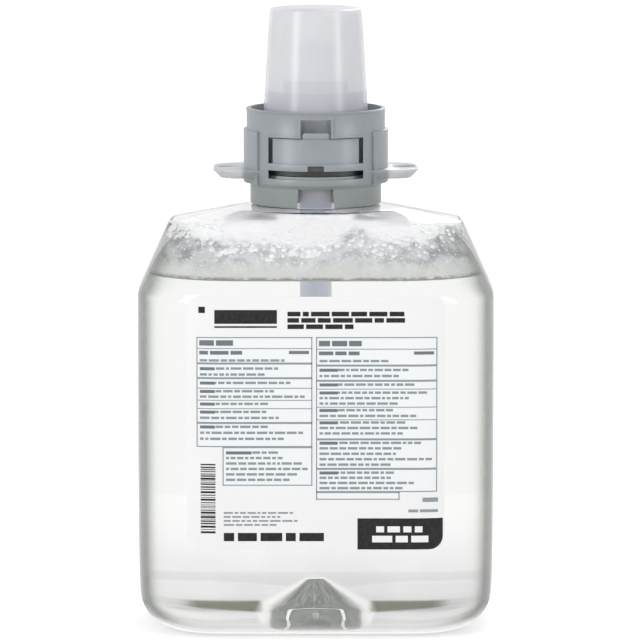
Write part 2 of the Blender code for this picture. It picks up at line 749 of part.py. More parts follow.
def window_outline():
    """The slot round the latch panel: a stem above, slits over the panel and slots beside it."""
    panel_half = WINDOW_HALF_WIDTH - LATCH_SLOT
    panel_top = WINDOW_TOP - LATCH_SLIT
    tab_top = WINDOW_TOP + TAB_RISE
    right = [
        (STEM_HALF_WIDTH, STEM_TOP),
        (STEM_HALF_WIDTH, WINDOW_TOP),
        (WINDOW_HALF_WIDTH, WINDOW_TOP),
        (WINDOW_HALF_WIDTH, LIP_TOP),
        (panel_half, LIP_TOP),
        (panel_half, panel_top),
        (TAB_HALF_WIDTH, panel_top),
        (TAB_HALF_WIDTH, tab_top - TAB_CHAMFER),
        (TAB_HALF_WIDTH - TAB_CHAMFER, tab_top),
    ]
    return right + [(-x, z) for x, z in reversed(right)]


def bead_outline():
    """The raised border that follows the top of the window."""
    stem = STEM_HALF_WIDTH - WINDOW_BEAD_LAP
    outer = [
        (WINDOW_HALF_WIDTH + WINDOW_BEAD, WINDOW_TOP - WINDOW_BEAD_LEG),
        (WINDOW_HALF_WIDTH + WINDOW_BEAD, WINDOW_TOP + WINDOW_BEAD),
        (STEM_HALF_WIDTH + WINDOW_BEAD, WINDOW_TOP + WINDOW_BEAD),
        (STEM_HALF_WIDTH + WINDOW_BEAD, STEM_TOP + WINDOW_BEAD),
    ]
    inner = [
        (stem, STEM_TOP - WINDOW_BEAD_LAP),
        (stem, WINDOW_TOP - WINDOW_BEAD_LAP),
        (WINDOW_HALF_WIDTH, WINDOW_TOP - WINDOW_BEAD_LAP),
        (WINDOW_HALF_WIDTH, WINDOW_TOP - WINDOW_BEAD_LEG),
    ]
    left_outer = [(-x, z) for x, z in reversed(outer)]
    left_inner = [(-x, z) for x, z in reversed(inner)]
    return outer + left_outer + left_inner + inner


def trapezoid(half_foot, half_top, low, high):
    return [(-half_foot, low), (half_foot, low), (half_top, high), (-half_top, high)]


def shell_slice(name, outline, inner, outer, side):
    """An outline in X and Z carried through the collar's wall between two radii, at the front or back."""
    near = SKIRT_BORE / 2
    far = outer + OVERCUT
    piece = prism(name, outline, *sorted((side * near, side * far)))
    low = min(z for _, z in outline) - OVERCUT
    high = max(z for _, z in outline) + OVERCUT
    section = [(inner, low, 0), (outer, low, 0), (outer, high, 0), (inner, high, 0)]
    return combined(piece, turned(name + "_barrel", section, None), "INTERSECT")


def collar_front(collar, side):
    """The latch panel, its lip and border, and the openings round them, on the front or the back."""
    outside = PAD_RADIUS + OVERCUT
    half = WINDOW_HALF_WIDTH
    panel = rectangle(-half, half, LIP_TOP, WINDOW_TOP)
    lip = rectangle(-half - LIP_PAST_WINDOW, half + LIP_PAST_WINDOW, LIP_FOOT, LIP_TOP)
    lower = rectangle(-half, half, LOWER_WINDOW_FOOT, LIP_FOOT)
    lip_notch = trapezoid(
        LIP_NOTCH_HALF_WIDTH + LIP_NOTCH_FLARE, LIP_NOTCH_HALF_WIDTH,
        LIP_FOOT - OVERCUT, LIP_TOP - LIP_NOTCH_ROOF,
    )
    skirt_notch = trapezoid(
        SKIRT_NOTCH_HALF_WIDTH + SKIRT_NOTCH_FLARE, SKIRT_NOTCH_HALF_WIDTH,
        SKIRT_FOOT - OVERCUT, SKIRT_FOOT + SKIRT_NOTCH_RISE,
    )
    steps = (
        ("recess", panel, COLLAR_RADIUS - LATCH_RECESS, outside, "DIFFERENCE"),
        ("lip", lip, COLLAR_MIDWALL, COLLAR_RADIUS + LIP_PROUD, "UNION"),
        ("border", bead_outline(), COLLAR_MIDWALL, COLLAR_RADIUS + WINDOW_BEAD_PROUD, "UNION"),
        ("window", window_outline(), COLLAR_BORE - OVERCUT, outside, "DIFFERENCE"),
        ("lower_window", lower, SKIRT_BORE - OVERCUT, outside, "DIFFERENCE"),
        ("lip_notch", lip_notch, COLLAR_MIDWALL, outside, "DIFFERENCE"),
        ("skirt_notch", skirt_notch, SKIRT_BORE - OVERCUT, outside, "DIFFERENCE"),
    )
    for name, outline, inner, outer, operation in steps:
        combined(collar, shell_slice(name, outline, inner, outer, side), operation)


def make_collar(finish):
    """One moulding: the sleeve, its side pads and wings, and a window with a latch at the front and back."""
    collar = collar_sleeve(finish)
    pad_foot = STEP_TOP - PAD_FOOT_DROP
    pad_top = COLLAR_TOP - PAD_TOP_DROP
    for middle in (0, math.pi):
        pad = ring_sector("pad", COLLAR_MIDWALL, PAD_RADIUS, pad_foot, pad_top, middle, PAD_HALF_ANGLE)
        combined(collar, pad, "UNION")
    combined(collar, wing_plate(), "UNION")
    for side in (-1, 1):
        collar_front(collar, side)
    smoothed(collar.data)
    return collar


def make_gasket(finish):
    low = NECK_TOP + CLEARANCE
    high = low + GASKET_THICKNESS
    outer = NECK_RADIUS - GASKET_INSET
    corners = [(NECK_BORE, low, 0), (outer, low, 0), (outer, high, 0), (NECK_BORE, high, 0)]
    return turned("neck_gasket", corners, finish, SMALL_ROUND_STEPS)


def make_carrier(finish):
    """The grey inner piece: a flange on the neck, the cap's seat above it and the air cylinder through it."""
    hole = CYLINDER_RADIUS + CLEARANCE
    corners = [
        (hole, AIR_FLOOR_FOOT, 0),
        (AIR_CYLINDER_RADIUS, AIR_FLOOR_FOOT, CARRIER_ROUND),
        (AIR_CYLINDER_RADIUS, CARRIER_FOOT, 0),
        (NECK_RADIUS - CARRIER_FLANGE_INSET, CARRIER_FOOT, 0),
        (NECK_RADIUS - CARRIER_FLANGE_INSET, CARRIER_DECK, 0),
        (SEAT_RADIUS, CARRIER_DECK, 0),
        (SEAT_RADIUS, SEAT_TOP, 0),
        (SEAT_BORE, SEAT_TOP, 0),
        (SEAT_BORE, CARRIER_DECK, 0),
        (AIR_CYLINDER_RADIUS, CARRIER_DECK, 0),
        (AIR_CYLINDER_RADIUS, AIR_CYLINDER_TOP, 0),
        (AIR_BORE, AIR_CYLINDER_TOP, 0),
        (AIR_BORE, AIR_FLOOR_TOP, CARRIER_ROUND),
        (hole, AIR_FLOOR_TOP, 0),
    ]
    return turned("pump_carrier", corners, finish, SMALL_ROUND_STEPS)


def make_cylinder(finish):
    flange = CYLINDER_RADIUS + CYLINDER_FLANGE_OUT
    corners = [
        (CYLINDER_BORE, CYLINDER_FOOT, 0),
        (CYLINDER_RADIUS, CYLINDER_FOOT, 0),
        (CYLINDER_RADIUS, CYLINDER_TOP - CYLINDER_FLANGE, 0),
        (flange, CYLINDER_TOP - CYLINDER_FLANGE, 0),
        (flange, CYLINDER_TOP, 0),
        (CYLINDER_BORE, CYLINDER_TOP, 0),
    ]
    return turned("liquid_cylinder", corners, finish, SMALL_ROUND_STEPS)


def make_end_cap(finish):
    """The plug in the cylinder's lower end, with a port that the inlet valve's stalk hangs through."""
    skirt = CYLINDER_BORE - CLEARANCE
    low = CYLINDER_FOOT - END_CAP_HEIGHT
    rim_foot = CYLINDER_FOOT - CLEARANCE
    plug_top = CYLINDER_FOOT + END_CAP_HEIGHT / 2
    corners = [
        (END_CAP_PORT, low, 0),
        (CYLINDER_RADIUS - END_CAP_BEVEL, low, 0),
        (CYLINDER_RADIUS, low + END_CAP_BEVEL, 0),
        (CYLINDER_RADIUS, rim_foot, 0),
        (skirt, rim_foot, 0),
        (skirt, plug_top, 0),
        (END_CAP_PORT, plug_top, 0),
    ]
    return turned("cylinder_end_cap", corners, finish, SMALL_ROUND_STEPS)


def make_inlet_valve(finish):
    """A soft umbrella valve whose head lies over the port inside the cylinder."""
    seat = CYLINDER_FOOT + END_CAP_HEIGHT / 2 + CLEARANCE
    foot = CYLINDER_FOOT - END_CAP_HEIGHT / 2
    corners = [
        (0, foot, 0),
        (VALVE_STALK_RADIUS, foot, 0),
        (VALVE_STALK_RADIUS, seat, 0),
        (VALVE_HEAD_RADIUS, seat, 0),
        (VALVE_HEAD_RADIUS, seat + VALVE_HEAD / 2, 0),
        (0, seat + VALVE_HEAD, 0),
    ]
    return turned("inlet_valve", corners, finish, SMALL_ROUND_STEPS)


def make_stem(finish):
    """The hollow stem that carries liquid from the cylinder up to the nozzle."""
    top = NOZZLE_SHELF - CLEARANCE
    corners = [
        (STEM_BORE, STEM_FOOT, 0),
        (STEM_RADIUS, STEM_FOOT, 0),
        (STEM_RADIUS, top, 0),
        (STEM_BORE, top, 0),
    ]
    return turned("piston_stem", corners, finish, SMALL_ROUND_STEPS)


def make_liquid_seal(finish):
    """The liquid piston: a sleeve on the stem's foot with a lip at each end."""
    foot = STEM_FOOT + CLEARANCE
    top = foot + PISTON_SEAL_HEIGHT
    bore = STEM_RADIUS + CLEARANCE
    lip = CYLINDER_BORE - CLEARANCE
    waist = (bore + lip) / 2
    edge = PISTON_SEAL_HEIGHT / 5
    corners = [
        (bore, foot, 0), (lip, foot, 0), (lip, foot + edge, 0), (waist, foot + 2 * edge, 0),
        (waist, top - 2 * edge, 0), (lip, top - edge, 0), (lip, top, 0), (bore, top, 0),
    ]
    return turned("liquid_piston_seal", corners, finish, SMALL_ROUND_STEPS)


def make_air_piston(finish):
    """A spool that slides in the air cylinder, with a tube up into the nozzle's hub."""
    foot = AIR_PISTON_FOOT
    top = foot + AIR_PISTON_PLATE
    cheek = AIR_PISTON_CHEEK
    rim = AIR_PISTON_RIM
    groove = rim - AIR_SEAL_GROOVE
    bore = STEM_RADIUS + CLEARANCE
    hub = MIDDLE_RADIUS - NOZZLE_WALL - CLEARANCE
    tube_top = MIDDLE_TOP - NOZZLE_WALL - CLEARANCE - AIR_TUBE_DROP
    corners = [
        (bore, foot, 0), (rim, foot, 0), (rim, foot + cheek, 0), (groove, foot + cheek, 0),
        (groove, top - cheek, 0), (rim, top - cheek, 0), (rim, top, 0),
        (hub, top, CARRIER_ROUND), (hub, tube_top, 0), (hub - NOZZLE_WALL, tube_top, 0),
        (hub - NOZZLE_WALL, top - cheek, CARRIER_ROUND), (bore + NOZZLE_WALL, top - cheek, 0),
        (bore + NOZZLE_WALL, top, 0), (bore, top, 0),
    ]
    return turned("air_piston", corners, finish, SMALL_ROUND_STEPS)


def make_air_seal(finish):
    """The soft ring in the spool's groove, with a lip that wipes the air cylinder."""
    low = AIR_PISTON_FOOT + AIR_PISTON_CHEEK + CLEARANCE
    high = low + AIR_SEAL_HEIGHT
    bore = AIR_PISTON_RIM - AIR_SEAL_GROOVE + CLEARANCE
    lip = AIR_BORE - CLEARANCE / 2
    root = lip - AIR_SEAL_LIP
    corners = [(bore, low, 0), (root, low, 0), (lip, (low + high) / 2, 0), (root, high, 0), (bore, high, 0)]
    return turned("air_piston_seal", corners, finish, SMALL_ROUND_STEPS)


def make_nozzle(finish):
    """The stepped nozzle: a flange that a dispenser grips, the hub over the air piston and the foam tip."""
    hub_bore = MIDDLE_RADIUS - NOZZLE_WALL
    tip_bore = TIP_RADIUS - NOZZLE_WALL
    socket = STEM_RADIUS + CLEARANCE
    shelf = NOZZLE_SHELF
    plate_foot = FLANGE_TOP - FLANGE_PLATE
    hub_top = MIDDLE_TOP - NOZZLE_WALL
    corners = [
        (tip_bore, TIP_TOP, 0),
        (tip_bore, shelf, 0),
        (STEM_BORE, shelf, 0),
        (STEM_BORE, shelf - CLEARANCE / 2, 0),
        (socket, shelf - CLEARANCE / 2, 0),
        (socket, FLANGE_FOOT, 0),
        (socket + NOZZLE_WALL, FLANGE_FOOT, 0),
        (socket + NOZZLE_WALL, shelf - NOZZLE_WALL, 0),
        (TIP_RADIUS, shelf - NOZZLE_WALL, 0),
        (TIP_RADIUS, hub_top, 0),
        (hub_bore, hub_top, 0),
        (hub_bore, FLANGE_FOOT, 0),
        (MIDDLE_RADIUS, FLANGE_FOOT, 0),
        (MIDDLE_RADIUS, plate_foot, TIP_ROUND),
        (FLANGE_RADIUS - NOZZLE_WALL, plate_foot, TIP_ROUND),
        (FLANGE_RADIUS - NOZZLE_WALL, FLANGE_FOOT, 0),
        (FLANGE_RADIUS, FLANGE_FOOT, 0),
        (FLANGE_RADIUS, FLANGE_TOP, FLANGE_ROUND),
        (MIDDLE_RADIUS, FLANGE_TOP, FLANGE_ROUND),
        (MIDDLE_RADIUS, MIDDLE_TOP, MIDDLE_ROUND),
        (TIP_RADIUS, MIDDLE_TOP, FLANGE_ROUND),
        (TIP_RADIUS, TIP_TOP, TIP_ROUND),
    ]
    return turned("foam_nozzle", corners, finish, SMALL_ROUND_STEPS)


def make_outlet_valve(finish):
    """A soft duckbill that stands over the stem, inside the nozzle."""
    low = NOZZLE_SHELF + CLEARANCE
    plate_top = low + OUTLET_VALVE_PLATE
    top = low + OUTLET_VALVE_HEIGHT
    corners = [
        (STEM_BORE, low, 0),
        (CARTRIDGE_RADIUS, low, 0),
        (CARTRIDGE_RADIUS, plate_top, 0),
        (STEM_RADIUS, plate_top, 0),
        (STEM_BORE * OUTLET_BILL_SHARE, top, 0),
        (STEM_BORE * OUTLET_SLIT_SHARE, top, 0),
        (STEM_BORE * OUTLET_SLIT_SHARE, top - OUTLET_VALVE_PLATE, 0),
    ]
    return turned("outlet_valve", corners, finish, SMALL_ROUND_STEPS)


def make_cartridge(finish):
    """The tube that holds a mesh screen in a seat at each end."""
    outer = CARTRIDGE_RADIUS
    bore = outer - CARTRIDGE_WALL
    seat = bore + CARTRIDGE_WALL / 2
    foot = CARTRIDGE_FOOT
    top = CARTRIDGE_TOP
    corners = [
        (seat, foot, 0), (outer, foot, 0), (outer, top, 0), (seat, top, 0), (seat, top - SCREEN_SEAT, 0),
        (bore, top - SCREEN_SEAT, 0), (bore, foot + SCREEN_SEAT, 0), (seat, foot + SCREEN_SEAT, 0),
    ]
    return turned("screen_cartridge", corners, finish, SMALL_ROUND_STEPS)


def make_screen(name, low, finish):
    """A disc of mesh with square holes."""
    radius = CARTRIDGE_RADIUS - CARTRIDGE_WALL / 2 - CLEARANCE / 2
    high = low + SCREEN_THICKNESS
    corners = [(0, low, 0), (radius, low, 0), (radius, high, 0), (0, high, 0)]
    disc = turned(name, corners, finish, SMALL_ROUND_STEPS)
    reach = int((radius - SCREEN_PITCH) / SCREEN_PITCH)
    shape = bmesh.new()
    for column in range(-reach, reach + 1):
        for row in range(-reach, reach + 1):
            middle = Vector((column * SCREEN_PITCH, row * SCREEN_PITCH, (low + high) / 2))
            if middle.xy.length > radius - SCREEN_PITCH:
                continue
            cube = bmesh.ops.create_cube(shape, size=1)["verts"]
            bmesh.ops.scale(shape, verts=cube, vec=(SCREEN_HOLE, SCREEN_HOLE, 4 * SCREEN_THICKNESS))
            bmesh.ops.translate(shape, verts=cube, vec=middle)
    holes = finished("holes", shape, None)
    return combined(disc, holes, "DIFFERENCE")


def main():
    clear_scene()
    clear = material("clear_bottle", (0.93, 0.95, 0.95), 0.05, transmission=1.0, alpha=0.3)
    soap = material("soap", (0.93, 0.94, 0.90), 0.05, transmission=1.0, alpha=0.6)
    foam = material("foam", (0.85, 0.86, 0.85), 0.5)
    paper = material("label_film", (0.94, 0.94, 0.95), 0.4)
    grey = material("collar_grey", (0.30, 0.33, 0.35), 0.4)
    dark_grey = material("carrier_grey", (0.22, 0.24, 0.26), 0.45)
    milky = material("cap_milky", (0.80, 0.81, 0.83), 0.35, transmission=0.4, alpha=0.8)
    white = material("pump_white", (0.85, 0.86, 0.87), 0.4)
    rubber = material("seal_rubber", (0.75, 0.76, 0.77), 0.6)
    mesh = material("screen_mesh", (0.80, 0.80, 0.80), 0.7)

    make_bottle(clear)
    make_soap(soap)
    make_foam(foam)
    make_label(paper)
    make_collar(grey)
    make_gasket(rubber)
    make_carrier(dark_grey)
    make_cylinder(white)
    make_end_cap(white)
    make_inlet_valve(rubber)

    cap_slide = bpy.data.objects.new("cap_slide", None)
    pump_slide = bpy.data.objects.new("pump_slide", None)
    for empty in (cap_slide, pump_slide):
        bpy.context.collection.objects.link(empty)
    make_cap(milky).parent = cap_slide
    seat_low = CARTRIDGE_FOOT + CLEARANCE / 2
    seat_high = CARTRIDGE_TOP - SCREEN_SEAT + CLEARANCE / 2
    for piece in (
        make_stem(white),
        make_liquid_seal(rubber),
        make_air_piston(white),
        make_air_seal(rubber),
        make_nozzle(white),
        make_outlet_valve(rubber),
        make_cartridge(white),
        make_screen("lower_mesh_screen", seat_low, mesh),
        make_screen("upper_mesh_screen", seat_high, mesh),
    ):
        piece.parent = pump_slide


main()
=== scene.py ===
"""Looks of a hand soap refill pack: a clear bottle with a foam pump in a grey collar, under a milky cap.

Metres, +Z up. The label faces -Y. Every piece is made round the packed model and stays in its place.
"""

import math
import random

import bpy
from bpy.props import FloatProperty, FloatVectorProperty, IntProperty, PointerProperty
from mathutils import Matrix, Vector
from mathutils.bvhtree import BVHTree


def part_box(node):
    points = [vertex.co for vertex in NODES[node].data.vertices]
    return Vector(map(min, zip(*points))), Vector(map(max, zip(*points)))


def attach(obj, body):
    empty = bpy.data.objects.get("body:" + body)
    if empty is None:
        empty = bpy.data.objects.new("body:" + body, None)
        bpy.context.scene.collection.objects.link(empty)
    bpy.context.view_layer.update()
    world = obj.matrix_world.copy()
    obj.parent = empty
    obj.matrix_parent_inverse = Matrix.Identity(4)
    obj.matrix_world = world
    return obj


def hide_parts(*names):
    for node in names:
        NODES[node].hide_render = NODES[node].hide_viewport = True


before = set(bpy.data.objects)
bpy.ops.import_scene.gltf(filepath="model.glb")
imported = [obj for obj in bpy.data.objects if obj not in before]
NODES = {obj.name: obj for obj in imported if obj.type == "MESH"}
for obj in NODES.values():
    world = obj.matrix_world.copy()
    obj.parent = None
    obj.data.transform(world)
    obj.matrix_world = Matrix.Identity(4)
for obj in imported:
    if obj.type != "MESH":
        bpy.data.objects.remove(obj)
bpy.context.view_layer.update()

bl_info = {
    "name": "Soap Refill Pack",
    "version": (1, 0, 0),
    "blender": (4, 5, 0),
    "location": "3D View > Sidebar > Refill Pack",
    "description": "Shapes and finishes of a foam hand soap refill pack",
    "category": "Object",
}

BOTTLE = "bottle_body"
PUMP = "pump_piston"
CAP = "cap"
MILLIMETRE = 0.001
MERGE = 0.00001
QUAD_BEND = math.radians(40)
QUAD_SKEW = math.radians(60)
FLAT_ANGLE = math.radians(0.5)

# Places read from the packed model
SIDE_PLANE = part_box("bottle")[1].x - 0.0002
SIDE_FLAT = max(abs(vert.co.y) for vert in NODES["bottle"].data.vertices if vert.co.x > SIDE_PLANE)
CYLINDER_FLANGE_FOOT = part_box("bottle")[1].z - 0.0105
COLLAR_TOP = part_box("outer_collar")[1].z
LABEL_LOW, LABEL_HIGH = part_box("front_label")
LABEL_FLAT_HALF = 0.034
LABEL_BENDS = sorted({
    round(abs(vert.co.x), 6)
    for vert in NODES["front_label"].data.vertices
    if abs(vert.co.x) > LABEL_FLAT_HALF
})
LABEL_SHARP = math.radians(30)

# Stage
FLOOR_SIDES = 96
FLOOR_GLOW = 0.52
LAMP_AIM = Vector((0, 0, 0.11))
LAMPS = (  # name, place, width, height and the size that holds its power
    ("key_lamp", (-1.5, -1.3, 0.75), 0.55, 1.5, "key_power"),
    ("side_lamp", (1.6, -1.1, 0.65), 0.45, 1.4, "side_power"),
    ("back_lamp", (0.6, 2.0, 1.1), 1.0, 1.0, "back_power"),
)

# Foam and its bubbles
FOAM_SHARP = math.radians(50)
FOAM_STEPS = 3
FOAM_LUMP_SIZE = 0.0022
BUBBLE_SEED = 7
BUBBLE_STRETCH = 1.3
BUBBLE_REACH = 0.9
RAY_START = 0.2
LARGE_DROP = (-0.0016, 0.0014)  # middle and spread of the heights above the border
SMALL_DROP = (-0.0010, 0.0022)
BUBBLE_TOP_GAP = 0.003
BUBBLE_FOOT_GAP = 0.0012


def screen(red, green, blue):
    """The linear colour of a screen colour whose channels go from 0 to 255."""
    return tuple(
        level / 12.92 if level <= 0.04045 else ((level + 0.055) / 1.055) ** 2.4
        for level in (red / 255, green / 255, blue / 255)
    )


def colour_property(name, thing, *channels):
    """The colour of a thing; its default is a screen colour."""
    return FloatVectorProperty(
        name=name,
        description=f"Colour of {thing}",
        subtype="COLOR",
        size=3,
        min=0,
        max=1,
        default=screen(*channels),
    )


def share_property(name, description, share):
    """A value from 0 to 1 that the user can change."""
    return FloatProperty(name=name, description=description, subtype="FACTOR", min=0, max=1, default=share)


def length_property(name, description, length):
    """A length in metres that the user can change."""
    return FloatProperty(
        name=name,
        description=description,
        subtype="DISTANCE",
        unit="LENGTH",
        precision=5,
        min=0,
        default=length,
    )


def angle_property(name, description, degrees):
    """An angle that the user can change; its default is given in degrees."""
    return FloatProperty(name=name, description=description, subtype="ANGLE", default=math.radians(degrees))


def power_property(name, description, watts):
    """The power of a lamp."""
    return FloatProperty(name=name, description=description, unit="POWER", default=watts)


def number_property(name, description, value):
    """A plain number that the user can change."""
    return FloatProperty(name=name, description=description, default=value)


def steps_property():
    """How often a round piece is subdivided."""
    return IntProperty(name="Smooth steps", description="Subdivision steps", min=0, max=3, default=2)


class RefillStageSizes(bpy.types.PropertyGroup):
    """Camera, floor and light"""

    camera_distance: length_property("Camera distance", "From the aim point to the camera", 2.1)
    camera_height: length_property("Aim height", "Height of the point that the camera looks at", 0.109)
    camera_elevation: angle_property("Camera elevation", "How far the camera looks down", 7)
    camera_lens: FloatProperty(name="Lens", description="Focal length", unit="CAMERA", default=335.5)
    shift_across: number_property("Shift across", "Camera shift to the right", 0.0066)
    shift_up: number_property("Shift up", "Camera shift upwards", -0.0094)
    floor_radius: length_property("Floor radius", "Radius of the pale floor", 6.0)
    sky_level: share_property("Sky level", "Even light from all round", 0.62)
    key_power: power_property("Key lamp", "Power of the left lamp", 19.0)
    side_power: power_property("Side lamp", "Power of the right lamp", 12.0)
    back_power: power_property("Back lamp", "Power of the back lamp", 12.0)


class RefillBottleSizes(bpy.types.PropertyGroup):
    """Clear bottle and its soap"""

    plastic: colour_property("Plastic", "the clear wall", 254, 254, 254)
    # Painted shade: the wall's grey edges and paler sides stand in for darker surroundings that the clear
    # wall refracts where it turns away
    edge: colour_property("Wall edge", "the wall seen edge on", 104, 108, 104)
    side: colour_property("Wall side", "the wall where it turns away", 226, 229, 220)
    # Painted reflection: the collar's underside mirrored in the roof beside it, painted as two streaked
    # patches
    roof_reflection: colour_property("Roof marks", "the marks beside the collar", 104, 104, 112)
    # Painted shade: the olive grey of the shadowed floor seen through the pushed-up base
    bell_shade: colour_property("Bell", "the thick plastic of the pushed-up base", 200, 206, 172)
    # Painted shade: the olive grey band of the shadowed floor seen through the heel above the foot
    heel_shade: colour_property("Heel", "the thick plastic band above the foot", 164, 169, 152)
    soap: colour_property("Soap", "the soap", 254, 255, 253)
    # Painted shade: the soap's sides turn darker and greener where its surface turns away from the eye
    soap_edge_shade: colour_property("Soap edge", "the soap near the bottle's sides", 186, 191, 180)
    soap_low: colour_property("Low soap", "the soap below the label", 226, 225, 228)
    plastic_bend: number_property("Plastic IOR", "Index of refraction", 1.50)
    soap_bend: number_property("Soap IOR", "Index of refraction", 1.34)
    sharp_angle: angle_property("Sharp from", "Edges above this angle stay sharp", 34)
    smooth_steps: steps_property()


class RefillFoamSizes(bpy.types.PropertyGroup):
    """Foam above the soap"""

    foam_dark: colour_property("Wet foam", "the wet foam at the wall", 140, 143, 146)
    foam_low: colour_property("Drained foam", "the foam just above the soap", 206, 209, 204)
    foam_light: colour_property("Dry foam", "the dry foam", 244, 244, 246)
    # Painted light: the foam glows by this share, standing in for the light that it scatters
    glow: share_property("Glow", "Light that the foam passes on from all round", 0.36)
    # Painted light: the bubbles glow by this share
    bubble_glow: share_property("Bubbles' glow", "Light that the bubbles pass on from all round", 0.50)
    foam_bend: number_property("Foam IOR", "Index of refraction", 1.34)
    line: colour_property("Soap line", "the line at the foot of the foam", 128, 133, 122)
    lump: length_property("Lump depth", "How far the foam's surface wanders inwards", 0.0007)
    bubble_count: IntProperty(name="Bubbles", description="Number of bubbles", min=0, max=900, default=540)
    large_share: share_property("Large share", "Share of the bubbles that are large", 0.28)
    bubble_small: length_property("Smallest bubble", "Radius of the smallest bubble", 0.0004)
    bubble_middle: length_property("Middle bubble", "Radius between small and large bubbles", 0.0011)
    bubble_large: length_property("Largest bubble", "Radius of the largest bubble", 0.0034)
    bubble_gap: length_property("Bubble gap", "From a bubble to the bottle's wall", 0.00002)


class RefillLabelSizes(bpy.types.PropertyGroup):
    """Printed film label"""

    film: colour_property("Film", "the film", 238, 238, 238)
    # Painted light: the film's back glows by this share
    back_glow: share_property("Back glow", "Light that comes through the film to its back", 0.50)
    dark_ink: colour_property("Dark ink", "the bold print", 38, 34, 35)
    grey_ink: colour_property("Grey ink", "the fine print", 142, 151, 157)
    heading_share: share_property("Headings", "How bright the headings are beside the fine print", 0.6)
    pale_ink: colour_property("Pale ink", "the panels' ground", 237, 239, 240)
    ground_lift: length_property("Ground lift", "Height of the panels' ground over the film", 0.00002)
    ink_lift: length_property("Ink lift", "Height of the print over the film", 0.00004)


class RefillCollarSizes(bpy.types.PropertyGroup):
    """Grey collar moulding"""

    plastic: colour_property("Plastic", "the collar", 150, 155, 160)
    wing: colour_property("Wings", "the thin wings", 196, 197, 201)
    skirt: colour_property("Skirt", "the collar's foot", 142, 148, 147)
    wing_start: length_property("Wing start", "Half width at which the wings begin", 0.0255)
    edge_round: length_property("Edge round", "Radius of the moulding's edges", 0.00018)
    edge_steps: IntProperty(name="Edge steps", description="Facets of each edge", min=1, max=4, default=2)
    sharp_angle: angle_property("Sharp from", "Edges above this angle are rounded", 34)


class RefillPumpSizes(bpy.types.PropertyGroup):
    """Foam pump, its carrier and its seals"""

    white: colour_property("Pump plastic", "the nozzle and pistons", 152, 157, 166)
    tube: colour_property("Cylinder", "the tube in the soap", 206, 212, 227)
    # Painted light: the cylinder glows by this share where it stands in the soap
    tube_glow: share_property("Cylinder's glow", "Light that the cylinder passes on from all round", 0.38)
    tube_swell: length_property("Film of soap", "Thickness of the soap film round the cylinder", 0.00032)
    carrier: colour_property("Carrier", "the inner carrier", 68, 71, 73)
    # Painted reflection: the pale lilac that the clear neck shows in front of the carrier's foot
    carrier_foot_reflection: colour_property("Carrier's foot", "its foot inside the neck", 206, 206, 216)
    rubber: colour_property("Seals", "the soft seals", 205, 206, 207)
    mesh: colour_property("Screens", "the woven screens", 220, 220, 221)
    smooth_steps: steps_property()
    sharp_angle: angle_property("Sharp from", "Edges above this angle stay sharp", 30)


class RefillCapSizes(bpy.types.PropertyGroup):
    """Milky dust cap"""

    plastic: colour_property("Plastic", "the cap", 232, 233, 237)
    # Painted shade: the nozzle's flange and step seen darker and bluer through the milky wall
    low: colour_property("Foot", "the cap over the nozzle's flange", 204, 208, 219)
    cover: share_property("Cover", "How much the milky wall hides", 0.60)
    smooth_steps: steps_property()
    sharp_angle: angle_property("Sharp from", "Edges above this angle stay sharp", 40)


SIZE_GROUPS = {
    "refill_stage": RefillStageSizes,
    "refill_bottle": RefillBottleSizes,
    "refill_foam": RefillFoamSizes,
    "refill_label": RefillLabelSizes,
    "refill_collar": RefillCollarSizes,
    "refill_pump": RefillPumpSizes,
    "refill_cap": RefillCapSizes,
}


def new_finish(name, colour, roughness, inputs=None):
    """A new material and its Principled shader, with plain values on the shader's own sockets."""
    made = bpy.data.materials.new(name)
    made.use_nodes = True
    shader = made.node_tree.nodes["Principled BSDF"]
    shader.inputs["Base Color"].default_value = (*colour, 1)
    shader.inputs["Roughness"].default_value = roughness
    for socket, value in (inputs or {}).items():
        shader.inputs[socket].default_value = value
    return made, shader


def add_node(made, kind, inputs=None, **settings):
    """A new shader node with its settings and unlinked inputs."""
    added = made.node_tree.nodes.new(kind)
    for name, value in settings.items():
        setattr(added, name, value)
    for socket, value in (inputs or {}).items():
        added.inputs[socket].default_value = value
    return added


def link(made, source, target):
    """Joins an output to an input."""
    made.node_tree.links.new(source, target)


def place_of(made):
    """The point on the piece, in metres, as an output."""
    return add_node(made, "ShaderNodeTexCoord").outputs["Object"]


def split(made, source):
    """The X, Y and Z of a vector, as three outputs."""
    parts = add_node(made, "ShaderNodeSeparateXYZ")
    link(made, source, parts.inputs[0])
    return parts.outputs["X"], parts.outputs["Y"], parts.outputs["Z"]


def maths(made, operation, *terms):
    """A Math node; each term is a number or an output."""
    step = add_node(made, "ShaderNodeMath", operation=operation)
    for socket, term in zip(step.inputs, terms):
        if isinstance(term, (int, float)):
            socket.default_value = term
        else:
            link(made, term, socket)
    return step.outputs[0]


def fade(made, source, start, end):
    """Runs smoothly from 0 at start to 1 at end."""
    step = add_node(
        made,
        "ShaderNodeMapRange",
        {"From Min": start, "From Max": end, "To Min": 0.0, "To Max": 1.0},
        interpolation_type="SMOOTHSTEP",
    )
    link(made, source, step.inputs["Value"])
    return step.outputs["Result"]


def blend_colour(made, share, first, second, way="MIX"):
    """Mixes two colours; each is a colour or an output."""
    step = add_node(made, "ShaderNodeMix", data_type="RGBA", blend_type=way)
    if isinstance(share, (int, float)):
        step.inputs["Factor"].default_value = share
    else:
        link(made, share, step.inputs["Factor"])
    for socket, colour in ((step.inputs[6], first), (step.inputs[7], second)):
        if isinstance(colour, bpy.types.NodeSocket):
            link(made, colour, socket)
        else:
            socket.default_value = (*colour, 1)
    return step.outputs[2]


def inverse(made, share):
    """What a share leaves of 1."""
    return maths(made, "SUBTRACT", 1.0, share)


def product(made, first, *others):
    """Multiplies shares; each is a number or an output."""
    for other in others:
        first = maths(made, "MULTIPLY", first, other)
    return first


